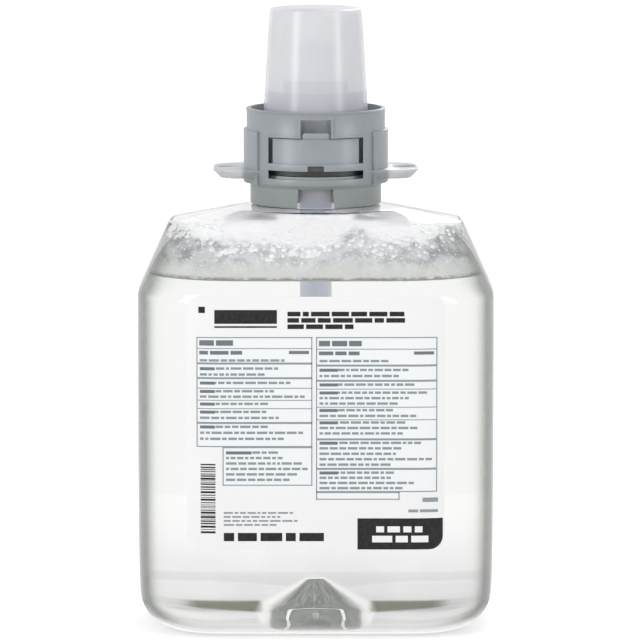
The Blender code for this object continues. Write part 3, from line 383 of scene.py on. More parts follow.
def at_least(made, floor, share):
    """Squeezes a share into the stretch from floor to 1."""
    return maths(made, "ADD", floor, product(made, share, 1 - floor))


def fade_out(made, source, start, end):
    """Runs smoothly from 1 at start to 0 at end."""
    return inverse(made, fade(made, source, start, end))


def within(made, source, low, high):
    """Fades in over the low range and out over the high one."""
    return product(made, fade(made, source, *low), fade_out(made, source, *high))


def facing_of(made):
    """How far the surface turns away from the eye, from 0 to 1, as an output."""
    return add_node(made, "ShaderNodeLayerWeight", {"Blend": 0.5}).outputs["Facing"]


def normal_of(made):
    """The X, Y and Z of the surface's normal, as three outputs."""
    return split(made, add_node(made, "ShaderNodeTexCoord").outputs["Normal"])


def tint(made, shader, colour, *layers, sockets=("Base Color",)):
    """Lays colours over the first, each as a share and a colour, and gives the result to the shader."""
    for share, *layer in layers:
        colour = blend_colour(made, share, colour, *layer)
    for socket in sockets:
        link(made, colour, shader.inputs[socket])


def noise(made, size, detail=2.0, stretch=(1, 1, 1)):
    """Noise whose lumps are about size across, in metres."""
    mapping = add_node(made, "ShaderNodeMapping", {"Scale": stretch})
    link(made, place_of(made), mapping.inputs["Vector"])
    pattern = add_node(made, "ShaderNodeTexNoise", {"Scale": 1 / size, "Detail": detail})
    link(made, mapping.outputs[0], pattern.inputs["Vector"])
    return pattern.outputs[0]


def grain(made, shader, source, depth, strength=1.0):
    """Lets a pattern stand out as bump, depth in metres."""
    bump = add_node(made, "ShaderNodeBump", {"Strength": strength, "Distance": depth})
    link(made, source, bump.inputs["Height"])
    link(made, bump.outputs[0], shader.inputs["Normal"])


def moulded(name, colour, roughness, inputs=None, wander=0.04, grain_depth=0.000012):
    """Moulded plastic: the colour and the sheen wander a little, under a fine grain."""
    made, shader = new_finish(name, colour, roughness, inputs)
    darker = tuple(channel * (1 - 2 * wander) for channel in colour)
    tint(made, shader, colour, (noise(made, 0.012, 3.0, (1, 1, 0.4)), darker))
    sheen = add_node(
        made,
        "ShaderNodeMapRange",
        {"From Min": 0.1, "From Max": 0.9, "To Min": roughness * 0.92, "To Max": roughness * 1.08},
    )
    link(made, noise(made, 0.02), sheen.inputs["Value"])
    link(made, sheen.outputs["Result"], shader.inputs["Roughness"])
    grain(made, shader, noise(made, 0.0007), grain_depth, 0.5)
    return made, shader


def deselect():
    """Leaves object mode with nothing selected."""
    if bpy.context.object and bpy.context.object.mode != "OBJECT":
        bpy.ops.object.mode_set(mode="OBJECT")
    bpy.ops.object.select_all(action="DESELECT")


def select_only(piece):
    """Makes one piece active and the only one selected."""
    deselect()
    piece.select_set(True)
    bpy.context.view_layer.objects.active = piece


def edit_all():
    """Edits the active piece, with all of it selected."""
    bpy.ops.object.mode_set(mode="EDIT")
    bpy.ops.mesh.select_mode(type="VERT")
    bpy.ops.mesh.select_all(action="SELECT")


def start_piece(name):
    """An empty piece in edit mode, for primitives to be added to."""
    deselect()
    bpy.ops.mesh.primitive_plane_add(size=MILLIMETRE)
    piece = bpy.context.object
    piece.name = name
    edit_all()
    bpy.ops.mesh.delete(type="VERT")
    return piece


def apply_modifier(kind, **settings):
    """Adds a modifier to the active piece and applies it."""
    bpy.ops.object.modifier_add(type=kind)
    modifier = bpy.context.object.modifiers[-1]
    for name, value in settings.items():
        setattr(modifier, name, value)
    bpy.ops.object.modifier_apply(modifier=modifier.name)


def copied(node, name):
    """A merged copy of a packed node, active and selected."""
    piece = bpy.data.objects.new(name, NODES[node].data.copy())
    bpy.context.collection.objects.link(piece)
    select_only(piece)
    bpy.ops.mesh.customdata_custom_splitnormals_clear()
    edit_all()
    bpy.ops.mesh.remove_doubles(threshold=MERGE)
    bpy.ops.object.mode_set(mode="OBJECT")
    return piece


def dress(piece, finish, body, node=None):
    """Gives a piece its finish and its body, and lets it stand for a packed node."""
    piece.data.materials.clear()
    piece.data.materials.append(finish)
    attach(piece, body)
    if node:
        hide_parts(node)
    return piece


def refined(node, name, sharp_angle, steps):
    """A copy of a node whose round stretches are smoothed and whose sharp edges stay."""
    piece = copied(node, name)
    edit_all()
    bpy.ops.mesh.tris_convert_to_quads(face_threshold=QUAD_BEND, shape_threshold=QUAD_SKEW)
    bpy.ops.mesh.select_mode(type="EDGE")
    bpy.ops.mesh.select_all(action="DESELECT")
    bpy.ops.mesh.edges_select_sharp(sharpness=sharp_angle)
    bpy.ops.transform.edge_crease(value=1.0)
    bpy.ops.object.mode_set(mode="OBJECT")
    if steps:
        apply_modifier("SUBSURF", levels=steps, render_levels=steps)
    bpy.ops.object.shade_smooth_by_angle(angle=sharp_angle)
    return piece


def smooth_piece(sizes, node, name, finish, body):
    """Smooths a copy of a node and dresses it."""
    piece = refined(node, name, sizes.sharp_angle, sizes.smooth_steps)
    return dress(piece, finish, body, node)


# Ranges and shares of the finishes: places in metres; facing, lean and noise from 0 to 1

# Reach of the pushed-up base, where its painted shade lies
BELL_RIM = (0.0255, 0.0275)
BELL_CROWN = (0.017, 0.019)
# Painted shade of the clear wall where it turns away from the eye: its sides, edges, corners and outline
WALL_LEAN = (0.55, 0.85)
SIDE_SHADE_FACING = (0.16, 0.62)
EDGE_SHADE_FACING = (0.56, 0.84)
CORNER_SHADE_FACING = (0.34, 0.60)
CORNER_TURN = (SIDE_FLAT - 0.0005, SIDE_FLAT + 0.0010)
OUTLINE_SHADE_FACING = (0.88, 0.97)
OUTLINE_SHADE_SHARE = 0.85

# Painted shade in the band above the foot
HEEL_RISE = 0.065
HEEL_FOOT = (0.0083, 0.0093)
HEEL_TOP = (0.0136, 0.0146)
HEEL_START = (0.0175, 0.0205)
HEEL_END = (0.040, 0.048)
FRONT_TO_BACK = (-0.004, 0.004)
HEEL_BACK_LOSS = 0.82

# Painted reflection of the collar on the roof, placed level for the camera
VIEW_UP = 0.9925  # cosine of the camera's tilt
VIEW_BACK = 0.1219  # and its sine
REFLECTION_FOOT = (0.1402, 0.1412)
REFLECTION_TOP = (0.1428, 0.1438)
REFLECTION_START = (0.0118, 0.0150)
REFLECTION_END = (0.0180, 0.0290)
REFLECTION_STREAKS = (0.30, 0.55)
REFLECTION_SHARE = 0.5

# Painted shade of the soap where it turns away
SOAP_SHADE_FACING = (0.30, 0.95)
SOAP_FOOT = (0.010, 0.040)
SOAP_SWIRL = (0.15, 0.75)

# Border between the wet and the dry foam, seen from the front
BORDER_HEIGHT = 0.1374
BORDER_WAVES = ((0.0141, 0.0090, 0.0044), (-0.0040, 0.0120, -0.0018))  # middle, half width and height
RISE_START = 0.036
RISE_END = 0.053
RISE_HEIGHT = 0.0060

WIDE_CELLS = (0.0019, 0.12, 0.40)  # size, core and rim
FINE_CELLS = (0.0010, 0.10, 0.45)
FINE_CELL_SHARE = 0.7
FROTH_SHARE = 0.6
WANDER_HEIGHT = 0.006
WET_EDGE = (-0.0010, 0.0012)
LUMP_NOISE = (0.38, 0.62)
LUMP_LEAST = 0.60
SIDEWAYS = (0.020, 0.045)
MIDDLE_LEAST = 0.66
UPWARDS = (0.1275, 0.1325)
LOW_LEAST = 0.55
DRAINED_TOP = (0.1278, 0.1322)
DRAINED_SHARE = 0.65
LINE_TOP = (0.1256, 0.1268)
LINE_BREAKS = (0.30, 0.60)
# Painted shade on the bubbles' rims
BUBBLE_RIM_SHADE = (0.02, 0.22)
BUBBLE_RIM_SHADE_SHARE = 0.7

COLLAR_FOOT = (0.156, 0.164)
WING_BLEND = 0.001
FLOW_SHARE = 0.35
FLOW_SHADE = (0.75, 0.77, 0.78)
NOTCH_SIDE = (0.0026, 0.0031)
NOTCH_FOOT = (COLLAR_TOP - 0.0206, COLLAR_TOP - 0.0204)
NOTCH_TOP = (COLLAR_TOP - 0.0186, COLLAR_TOP - 0.0184)
NOTCH_SHADE = (0.085, 0.088, 0.080)
TUBE_SHOULDER = (0.144, 0.147)
# Heights over which the carrier's painted reflection fades out upwards
CARRIER_FOOT = (0.1525, 0.1575)
# Painted shade on the cap over the nozzle's flange and step
CAP_FLANGE = (0.1878, 0.1890)
FLANGE_SHADE_SHARE = 0.6
CAP_STEP = (0.1920, 0.1930)
CAP_STEP_SIDE = (0.0105, 0.0118)
STEP_SHADE_SHARE = 0.35

SCREEN_PITCH = 0.0004
THREAD_RISE = (0.0, 0.6)
OPENING_SHADE = 0.35
FILM_BACK = (0.2, 0.6)
FILM_TONE = (0.3, 0.7)
FILM_DIM = 0.985
INK_TONE = (0.35, 0.75)
INK_PALER = 0.012


# Finishes


def heel_shade_share(made, aside, depth, height):
    """Painted shade in the band above the foot, for the shadowed floor seen through it: its lower edge rises
    outwards, and it is faint at the back.
    """
    sloping = maths(made, "SUBTRACT", height, product(made, aside, HEEL_RISE))
    band = product(made, fade(made, sloping, *HEEL_FOOT), fade_out(made, height, *HEEL_TOP))
    back = fade(made, depth, *FRONT_TO_BACK)
    start = maths(made, "MAXIMUM", fade(made, aside, *HEEL_START), back)
    front = inverse(made, product(made, back, HEEL_BACK_LOSS))
    return product(made, band, start, fade_out(made, aside, *HEEL_END), front)


def roof_reflection_share(made, aside, depth, height):
    """Painted reflection of the collar's underside: two streaked patches on the roof beside the collar, level
    for the camera.
    """
    seen = maths(made, "ADD", product(made, height, VIEW_UP), product(made, depth, VIEW_BACK))
    rows = within(made, seen, REFLECTION_FOOT, REFLECTION_TOP)
    columns = within(made, aside, REFLECTION_START, REFLECTION_END)
    streaks = fade(made, noise(made, 0.004, stretch=(0.3, 1, 2)), *REFLECTION_STREAKS)
    return product(made, rows, columns, streaks, REFLECTION_SHARE)


def bottle_finish(look):
    """Clear blown plastic, with painted shade where it is seen edge on, in its base and above its foot, and a
    painted reflection of the collar on its roof.
    """
    made, shader = new_finish(
        "clear_pet", look.plastic, 0.0, {"Transmission Weight": 1.0, "IOR": look.plastic_bend}
    )
    across, depth, height = split(made, place_of(made))
    aside = maths(made, "ABSOLUTE", across)
    facing = facing_of(made)
    squares = maths(made, "ADD", product(made, across, across), product(made, depth, depth))
    from_middle = maths(made, "SQRT", squares)
    # Painted shade in the pushed-up base, for the shadowed floor seen through it
    bell_shade = product(made, fade_out(made, from_middle, *BELL_RIM), fade_out(made, height, *BELL_CROWN))
    clear_of_bell = inverse(made, bell_shade)
    # Painted shade: the wall turns grey at its edges, corners and outline, where it turns away from the eye
    lean = maths(made, "ABSOLUTE", normal_of(made)[2])
    wall = product(made, clear_of_bell, fade_out(made, lean, *WALL_LEAN))
    corner = fade(made, maths(made, "ABSOLUTE", depth), *CORNER_TURN)
    corner = product(made, corner, fade(made, facing, *CORNER_SHADE_FACING))
    edge = product(made, maths(made, "MAXIMUM", fade(made, facing, *EDGE_SHADE_FACING), corner), wall)
    outline_shade = product(made, fade(made, facing, *OUTLINE_SHADE_FACING), clear_of_bell, OUTLINE_SHADE_SHARE)
    tint(
        made,
        shader,
        look.plastic,
        (bell_shade, look.bell_shade),
        (product(made, heel_shade_share(made, aside, depth, height), clear_of_bell), look.heel_shade),
        (product(made, fade(made, facing, *SIDE_SHADE_FACING), wall), look.side),
        (roof_reflection_share(made, aside, depth, height), look.roof_reflection),
        (maths(made, "MAXIMUM", edge, outline_shade), look.edge),
    )
    grain(made, shader, noise(made, 0.02, 1.0, (1, 1, 0.5)), 0.00012, 0.35)
    return made


def soap_finish(look):
    """Clear soap: near white through its middle, with painted shade, faintly green, towards the sides where
    it turns away, and greyer at its foot.
    """
    made, shader = new_finish(
        "hand_soap", look.soap, 0.0, {"Transmission Weight": 1.0, "IOR": look.soap_bend}
    )
    height = split(made, place_of(made))[2]
    swirl = fade(made, noise(made, 0.035), *SOAP_SWIRL)
    low = product(made, fade_out(made, height, *SOAP_FOOT), swirl)
    side = fade(made, facing_of(made), *SOAP_SHADE_FACING)
    tint(made, shader, look.soap, (low, look.soap_low), (side, look.soap_edge_shade))
    return made


def smooth_share(value, start, end):
    """Runs smoothly from 0 at start to 1 at end, as fade does in a material."""
    share = min(1.0, max(0.0, (value - start) / (end - start)))
    return share * share * (3 - 2 * share)


def foam_border(across):
    """Height of the border between wet and dry foam: it waves and rises towards the bottle's sides."""
    waves = sum(
        high * (1 - smooth_share(abs(across - middle), 0, half)) for middle, half, high in BORDER_WAVES
    )
    return BORDER_HEIGHT + waves + RISE_HEIGHT * smooth_share(abs(across), RISE_START, RISE_END)


def foam_border_nodes(made, across):
    """The same border as foam_border, as an output."""
    rise = fade(made, maths(made, "ABSOLUTE", across), RISE_START, RISE_END)
    border = maths(made, "ADD", product(made, rise, RISE_HEIGHT), BORDER_HEIGHT)
    for middle, half, high in BORDER_WAVES:
        aside = maths(made, "ABSOLUTE", maths(made, "SUBTRACT", across, middle))
        border = maths(made, "ADD", border, product(made, fade_out(made, aside, 0.0, half), high))
    return border


def cells(made, size, core, rim):
    """Round spots about size apart: 1 inside their core and 0 past their rim."""
    pattern = add_node(made, "ShaderNodeTexVoronoi", {"Scale": 1 / size, "Randomness": 1.0}, feature="F1")
    link(made, place_of(made), pattern.inputs["Vector"])
    return fade_out(made, pattern.outputs["Distance"], core, rim)


def foam_finish(look):
    """Dry white foam over a mottled grey wet band full of bubbles, with a greenish line at its foot; the foam
    glows as painted light.
    """
    made, shader = new_finish(
        "soap_foam", look.foam_light, 0.35, {"IOR": look.foam_bend, "Emission Strength": look.glow}
    )
    across, _, height = split(made, place_of(made))
    aside = maths(made, "ABSOLUTE", across)
    fine = product(made, cells(made, *FINE_CELLS), FINE_CELL_SHARE)
    froth = maths(made, "MAXIMUM", cells(made, *WIDE_CELLS), fine)
    wander = product(made, maths(made, "SUBTRACT", noise(made, 0.004, 3.0), 0.5), WANDER_HEIGHT)
    over = maths(made, "ADD", maths(made, "SUBTRACT", height, foam_border_nodes(made, across)), wander)
    lumps = fade(made, noise(made, 0.0045, 3.0), *LUMP_NOISE)
    wet = product(
        made,
        fade_out(made, over, *WET_EDGE),
        at_least(made, LUMP_LEAST, lumps),
        at_least(made, MIDDLE_LEAST, fade(made, aside, *SIDEWAYS)),
        at_least(made, LOW_LEAST, fade(made, height, *UPWARDS)),
        inverse(made, product(made, froth, FROTH_SHARE)),
    )
    drained = fade_out(made, maths(made, "ADD", height, wander), *DRAINED_TOP)
    line = product(made, fade_out(made, height, *LINE_TOP), fade(made, noise(made, 0.0025), *LINE_BREAKS))
    tint(
        made,
        shader,
        look.foam_light,
        (wet, look.foam_dark),
        (product(made, drained, DRAINED_SHARE), look.foam_low),
        (line, look.line),
        sockets=("Base Color", "Emission Color"),
    )
    grain(made, shader, froth, 0.0002, 0.6)
    return made


def bubble_finish(look):
    """Bright bubble skins that glow as painted light, with painted shade on their rim where they turn away.
    """
    made, shader = new_finish(
        "bubble_skin", look.foam_light, 0.30, {"IOR": look.foam_bend, "Emission Strength": look.bubble_glow}
    )
    rim = product(made, fade(made, facing_of(made), *BUBBLE_RIM_SHADE), noise(made, 0.003), BUBBLE_RIM_SHADE_SHARE)
    tint(made, shader, look.foam_light, (rim, look.foam_dark), sockets=("Base Color", "Emission Color"))
    return made


def notch_share(made, aside, height):
    """1 behind the notch of the latch's lip, where it is dark, and 0 elsewhere."""
    return product(made, fade_out(made, aside, *NOTCH_SIDE), within(made, height, NOTCH_FOOT, NOTCH_TOP))


def collar_finish(look):
    """Satin grey moulding, paler in its thin wings and a little greener at its foot."""
    made, shader = moulded("collar_plastic", look.plastic, 0.34, {"IOR": 1.46})
    across, _, height = split(made, place_of(made))
    aside = maths(made, "ABSOLUTE", across)
    wing = fade(made, aside, look.wing_start - WING_BLEND, look.wing_start + WING_BLEND)
    flow = product(made, noise(made, 0.010, 3.0, (1, 1, 0.4)), FLOW_SHARE)
    tint(
        made,
        shader,
        look.plastic,
        (fade_out(made, height, *COLLAR_FOOT), look.skirt),
        (wing, look.wing),
        (flow, FLOW_SHADE, "MULTIPLY"),
        (notch_share(made, aside, height), NOTCH_SHADE),
    )
    return made


def tube_finish(look):
    """White tube that glows as painted light where it stands in the soap."""
    made, shader = moulded("cylinder_plastic", look.tube, 0.30, {"Emission Color": (*look.tube, 1)})
    in_soap = fade_out(made, split(made, place_of(made))[2], *TUBE_SHOULDER)
    link(made, product(made, in_soap, look.tube_glow), shader.inputs["Emission Strength"])
    return made


def carrier_finish(look):
    """Grey carrier whose foot inside the clear neck is painted pale: a painted reflection that the neck shows
    there.
    """
    made, shader = moulded("carrier_plastic", look.carrier, 0.42)
    across, _, height = split(made, place_of(made))
    foot = fade_out(made, height, *CARRIER_FOOT)
    notch = notch_share(made, maths(made, "ABSOLUTE", across), height)
    tint(made, shader, look.carrier, (foot, look.carrier_foot_reflection), (notch, NOTCH_SHADE))
    return made


def cap_finish(look):
    """Milky plastic that lets the nozzle show faintly, with painted shade that makes it a little darker and
    bluer over the nozzle's flange and step.
    """
    see_through = {"IOR": 1.5, "Alpha": look.cover}
    made, shader = moulded("cap_plastic", look.plastic, 0.24, see_through, wander=0.01, grain_depth=0.000004)
    across, _, height = split(made, place_of(made))
    aside = maths(made, "ABSOLUTE", across)
    flange = product(made, fade_out(made, height, *CAP_FLANGE), FLANGE_SHADE_SHARE)
    step = product(made, fade_out(made, height, *CAP_STEP), fade_out(made, aside, *CAP_STEP_SIDE))
    share = maths(made, "MAXIMUM", flange, product(made, step, STEP_SHADE_SHARE))
    tint(made, shader, look.plastic, (share, look.low))
    return made


def screen_finish(look):
    """Fine woven mesh: threads both ways with dark openings."""
    made, shader = new_finish("screen_weave", look.mesh, 0.5)
    turn = 2 * math.pi / SCREEN_PITCH
    threads = [maths(made, "SINE", product(made, along, turn)) for along in split(made, place_of(made))[:2]]
    weave = maths(made, "MAXIMUM", *threads)
    shade = tuple(channel * OPENING_SHADE for channel in look.mesh)
    tint(made, shader, shade, (fade(made, weave, *THREAD_RISE), look.mesh))
    grain(made, shader, weave, 0.00003)
    return made


def film_finish(look):
    """Smooth white film with the faint ripple of a stuck label; its back glows as painted light, for light
    that comes through the film.
    """
    made, shader = new_finish("label_film", look.film, 0.42, {"Emission Color": (*look.film, 1)})
    behind = fade(made, normal_of(made)[1], *FILM_BACK)
    link(made, product(made, behind, look.back_glow), shader.inputs["Emission Strength"])
    tone = fade(made, noise(made, 0.05), *FILM_TONE)
    dim = tuple(channel * FILM_DIM for channel in look.film)
    tint(made, shader, look.film, (tone, dim))
    grain(made, shader, noise(made, 0.03, 1.0), 0.0001, 0.2)
    return made


def ink_finish(name, colour):
    """Flat printed ink, slightly uneven."""
    made, shader = new_finish(name, colour, 0.55, {"Specular IOR Level": 0.2})
    tone = fade(made, noise(made, 0.0015), *INK_TONE)
    pale = tuple(channel + (1 - channel) * INK_PALER for channel in colour)
    tint(made, shader, colour, (tone, pale))
    return made


# Printed fields of the label, in millimetres from its top left corner: across, down, width, height

PRINT_SEED = 11
PRINT_SHIFT = 0.94
PRINT_SCALE = 0.985
PANEL_LINE = 0.38
THICK_RULE = 0.70
THIN_RULE = 0.32
PANEL_MARGIN = 1.2
ROW_HEIGHT = 0.85
BOLD_ROW_HEIGHT = 1.05

LEFT_PANEL = (2.5, 14.0, 43.1, 52.3)  # left, top, right and bottom
LOW_PANEL = (11.6, 52.3, 43.1, 65.8)
RIGHT_PANEL = (44.4, 14.0, 86.9, 68.0)
RIGHT_STEP = (44.4, 68.0, 73.7, 70.7)
PANELS = (LEFT_PANEL, LOW_PANEL, RIGHT_PANEL, RIGHT_STEP)
RULES = (  # panel, thickness and heights of its rules
    (LEFT_PANEL, THICK_RULE, (23.2, 28.3, 43.9)),
    (LEFT_PANEL, THIN_RULE, (18.0, 31.8, 36.0, 38.9)),
    (RIGHT_PANEL, THICK_RULE, (23.9, 29.2, 49.6, 59.9)),
    (RIGHT_PANEL, THIN_RULE, (18.2, 32.1, 38.4, 42.8)),
)
ROWS = (  # panel and the tops of its rows of words
    (LEFT_PANEL, (21.7, 24.5, 26.6, 29.5, 32.4, 34.3, 36.8, 39.6, 41.7, 44.8, 46.9, 49.0)),
    (LOW_PANEL, (53.8, 55.7, 57.6, 59.5, 61.4, 63.3)),
    (
        RIGHT_PANEL,
        (21.9, 25.0, 27.1, 30.1, 32.9, 34.8, 36.7, 39.0, 41.0, 43.3, 45.2)
        + (47.1, 50.4, 52.3, 54.2, 56.1, 58.0, 60.8, 62.6, 64.4, 66.2),
    ),
)
SMALL_ROWS = (75.0, 76.4, 77.8, 79.2)
SMALL_LEFT = 12.0
SMALL_RIGHT = 44.0
SMALL_HEIGHT = 0.6
LOOSE_WORDS = ((81.8, 70.0, 5.4, 1.5), (76.8, 74.1, 3.4, 1.0), (80.8, 74.1, 6.4, 1.0))

HEADINGS = ((LEFT_PANEL, (15.1, 18.8)), (RIGHT_PANEL, (15.3, 19.0)))  # panel and the tops of its two lines
HEADING_HEIGHTS = (1.9, 1.3)
BOLD_STARTS = (  # panel, width and tops of the words that start its sections
    (LEFT_PANEL, 5.2, (24.5, 29.5, 32.4, 36.8, 39.6, 44.8)),
    (LOW_PANEL, 9.0, (53.8,)),
    (RIGHT_PANEL, 6.4, (25.0, 30.1, 32.9, 39.0, 43.3, 50.4, 60.8)),
)

BLOCKS = ((3.2, 3.5, 2.3, 2.2), (8.8, 4.6, 21.9, 4.8), (8.8, 10.2, 21.9, 0.6))
TITLE_LEFT = 34.4
TITLE_RIGHT = 78.0
TITLE_HEIGHT = 1.6
TITLE_LINES = ((5.2, 0.97), (7.4, 1.0), (9.6, 0.53))  # top, and the share of the width that is filled
STRIPES = (3.9, 58.2, 5.2, 24.5)
STRIPE_WIDTHS = (0.22, 0.35, 0.5, 0.72)
STRIPE_GAPS = (0.26, 0.34, 0.5)
STRIPE_REST = 0.4
AMOUNT_LINE = (12.0, 49.3, 82.3, 2.9)  # left, right, top and height
SIGN_BOX = (58.95, 77.2, 30.0, 10.9)
SIGN_CORNER = 4.6
SIGN_TOP_LINE = (65.5, 81.8, 80.0, 2.1)
SIGN_LOW_LINE = (64.1, 83.9, 83.3, 2.3)


def words(randomly, left, right, down, height, share=1.0, gap=0.55, shortest=1.0, longest=3.8):
    """A line of greeked words from left to right, filled up to a share of its width."""
    fields = []
    at = left
    end = left + (right - left) * share
    while at < end - shortest:
        width = min(randomly.uniform(shortest, longest), end - at)
        fields.append((at, down, width, height))
        at += width + gap
    return fields


def frame_fields(left, top, right, bottom):
    """The four sides of a panel's frame."""
    return [
        (left, top, right - left, PANEL_LINE),
        (left, bottom - PANEL_LINE, right - left, PANEL_LINE),
        (left, top, PANEL_LINE, bottom - top),
        (right - PANEL_LINE, top, PANEL_LINE, bottom - top),
    ]


def ground_fields():
    """Pale ground of the panels."""
    return [(left, top, right - left, bottom - top) for left, top, right, bottom in PANELS]


def grey_fields(randomly):
    """Panels' frames and rules, and rows of greeked text."""
    fields = []
    for panel in PANELS:
        fields += frame_fields(*panel)
    for panel, line, downs in RULES:
        fields += [(panel[0], down - line / 2, panel[2] - panel[0], line) for down in downs]
    for panel, rows in ROWS:
        left, right = panel[0] + PANEL_MARGIN, panel[2] - PANEL_MARGIN
        for down in rows:
            fields += words(randomly, left, right, down, ROW_HEIGHT, randomly.uniform(0.6, 1.0))
    for down in SMALL_ROWS:
        fields += words(randomly, SMALL_LEFT, SMALL_RIGHT, down, SMALL_HEIGHT, randomly.uniform(0.6, 0.98))
    return fields + [*LOOSE_WORDS]


def bold_fields(randomly):
    """Headings of the panels and the words that start their sections."""
    fields = []
    for panel, rows in HEADINGS:
        left = panel[0] + 1.0
        for down, height in zip(rows, HEADING_HEIGHTS):
            fields += words(randomly, left, left + 15.0, down, height, gap=0.7, shortest=3, longest=8)
        fields.append((panel[2] - 8.2, rows[1], 7.0, 1.1))
    for panel, width, downs in BOLD_STARTS:
        fields += [(panel[0] + PANEL_MARGIN, down, width, BOLD_ROW_HEIGHT) for down in downs]
    return fields


def dark_fields(randomly):
    """Bold print: the square, the plain band, the title lines, the stripes and the amount line."""
    fields = [*BLOCKS]
    for down, share in TITLE_LINES:
        fields += words(
            randomly, TITLE_LEFT, TITLE_RIGHT, down, TITLE_HEIGHT, share, gap=0.8, shortest=2.0, longest=7.0
        )
    left, top, width, height = STRIPES
    down = top
    while down < top + height - STRIPE_REST:
        stripe = randomly.choice(STRIPE_WIDTHS)
        fields.append((left, down, width, stripe))
        down += stripe + randomly.choice(STRIPE_GAPS)
    return fields + words(randomly, *AMOUNT_LINE, gap=1.3, shortest=3.2, longest=9.0)


def sign_fields(randomly):
    """Two lines of bars on the sign in the lower right corner."""
    top_line = words(randomly, *SIGN_TOP_LINE, gap=1.2, shortest=2.0, longest=7.0)
    return top_line + words(randomly, *SIGN_LOW_LINE, gap=1.2, shortest=4.0, longest=9.0)


def print_fields(name, fields, lift, finish, corner=0.0):
    """Lays printed fields on the label: each starts as a plane and is pressed on to the film.

    A corner in millimetres rounds the lower right corner of the last field.
    """
    piece = start_piece(name)
    front = LABEL_LOW.y - 2 * MILLIMETRE
    for across, down, width, height in fields:
        centre = (
            LABEL_LOW.x + (PRINT_SHIFT + PRINT_SCALE * (across + width / 2)) * MILLIMETRE,
            front,
            LABEL_HIGH.z - (down + height / 2) * MILLIMETRE,
        )
        bpy.ops.mesh.primitive_plane_add(size=MILLIMETRE, location=centre, rotation=(math.pi / 2, 0, 0))
        bpy.ops.transform.resize(value=(PRINT_SCALE * width, 1, height), center_override=centre)
    if corner:
        bpy.ops.mesh.select_all(action="DESELECT")
        bpy.ops.object.mode_set(mode="OBJECT")
        last = max(piece.data.vertices, key=lambda vert: vert.co.x - vert.co.z)
        last.select = True
        bpy.ops.object.mode_set(mode="EDIT")
        bpy.ops.mesh.select_mode(type="VERT")
        bpy.ops.mesh.bevel(affect="VERTICES", offset=corner * MILLIMETRE, segments=8)
    for place in (side * bend for bend in LABEL_BENDS for side in (-1, 1)):
        bpy.ops.mesh.select_all(action="SELECT")
        bpy.ops.mesh.bisect(plane_co=(place, 0, 0), plane_no=(1, 0, 0))
    bpy.ops.object.mode_set(mode="OBJECT")
    apply_modifier(
        "SHRINKWRAP",
        target=NODES["front_label"],
        wrap_method="PROJECT",
        use_project_y=True,
        use_negative_direction=True,
        use_positive_direction=True,
        offset=lift,
    )
    return dress(piece, finish, BOTTLE)


# Operators


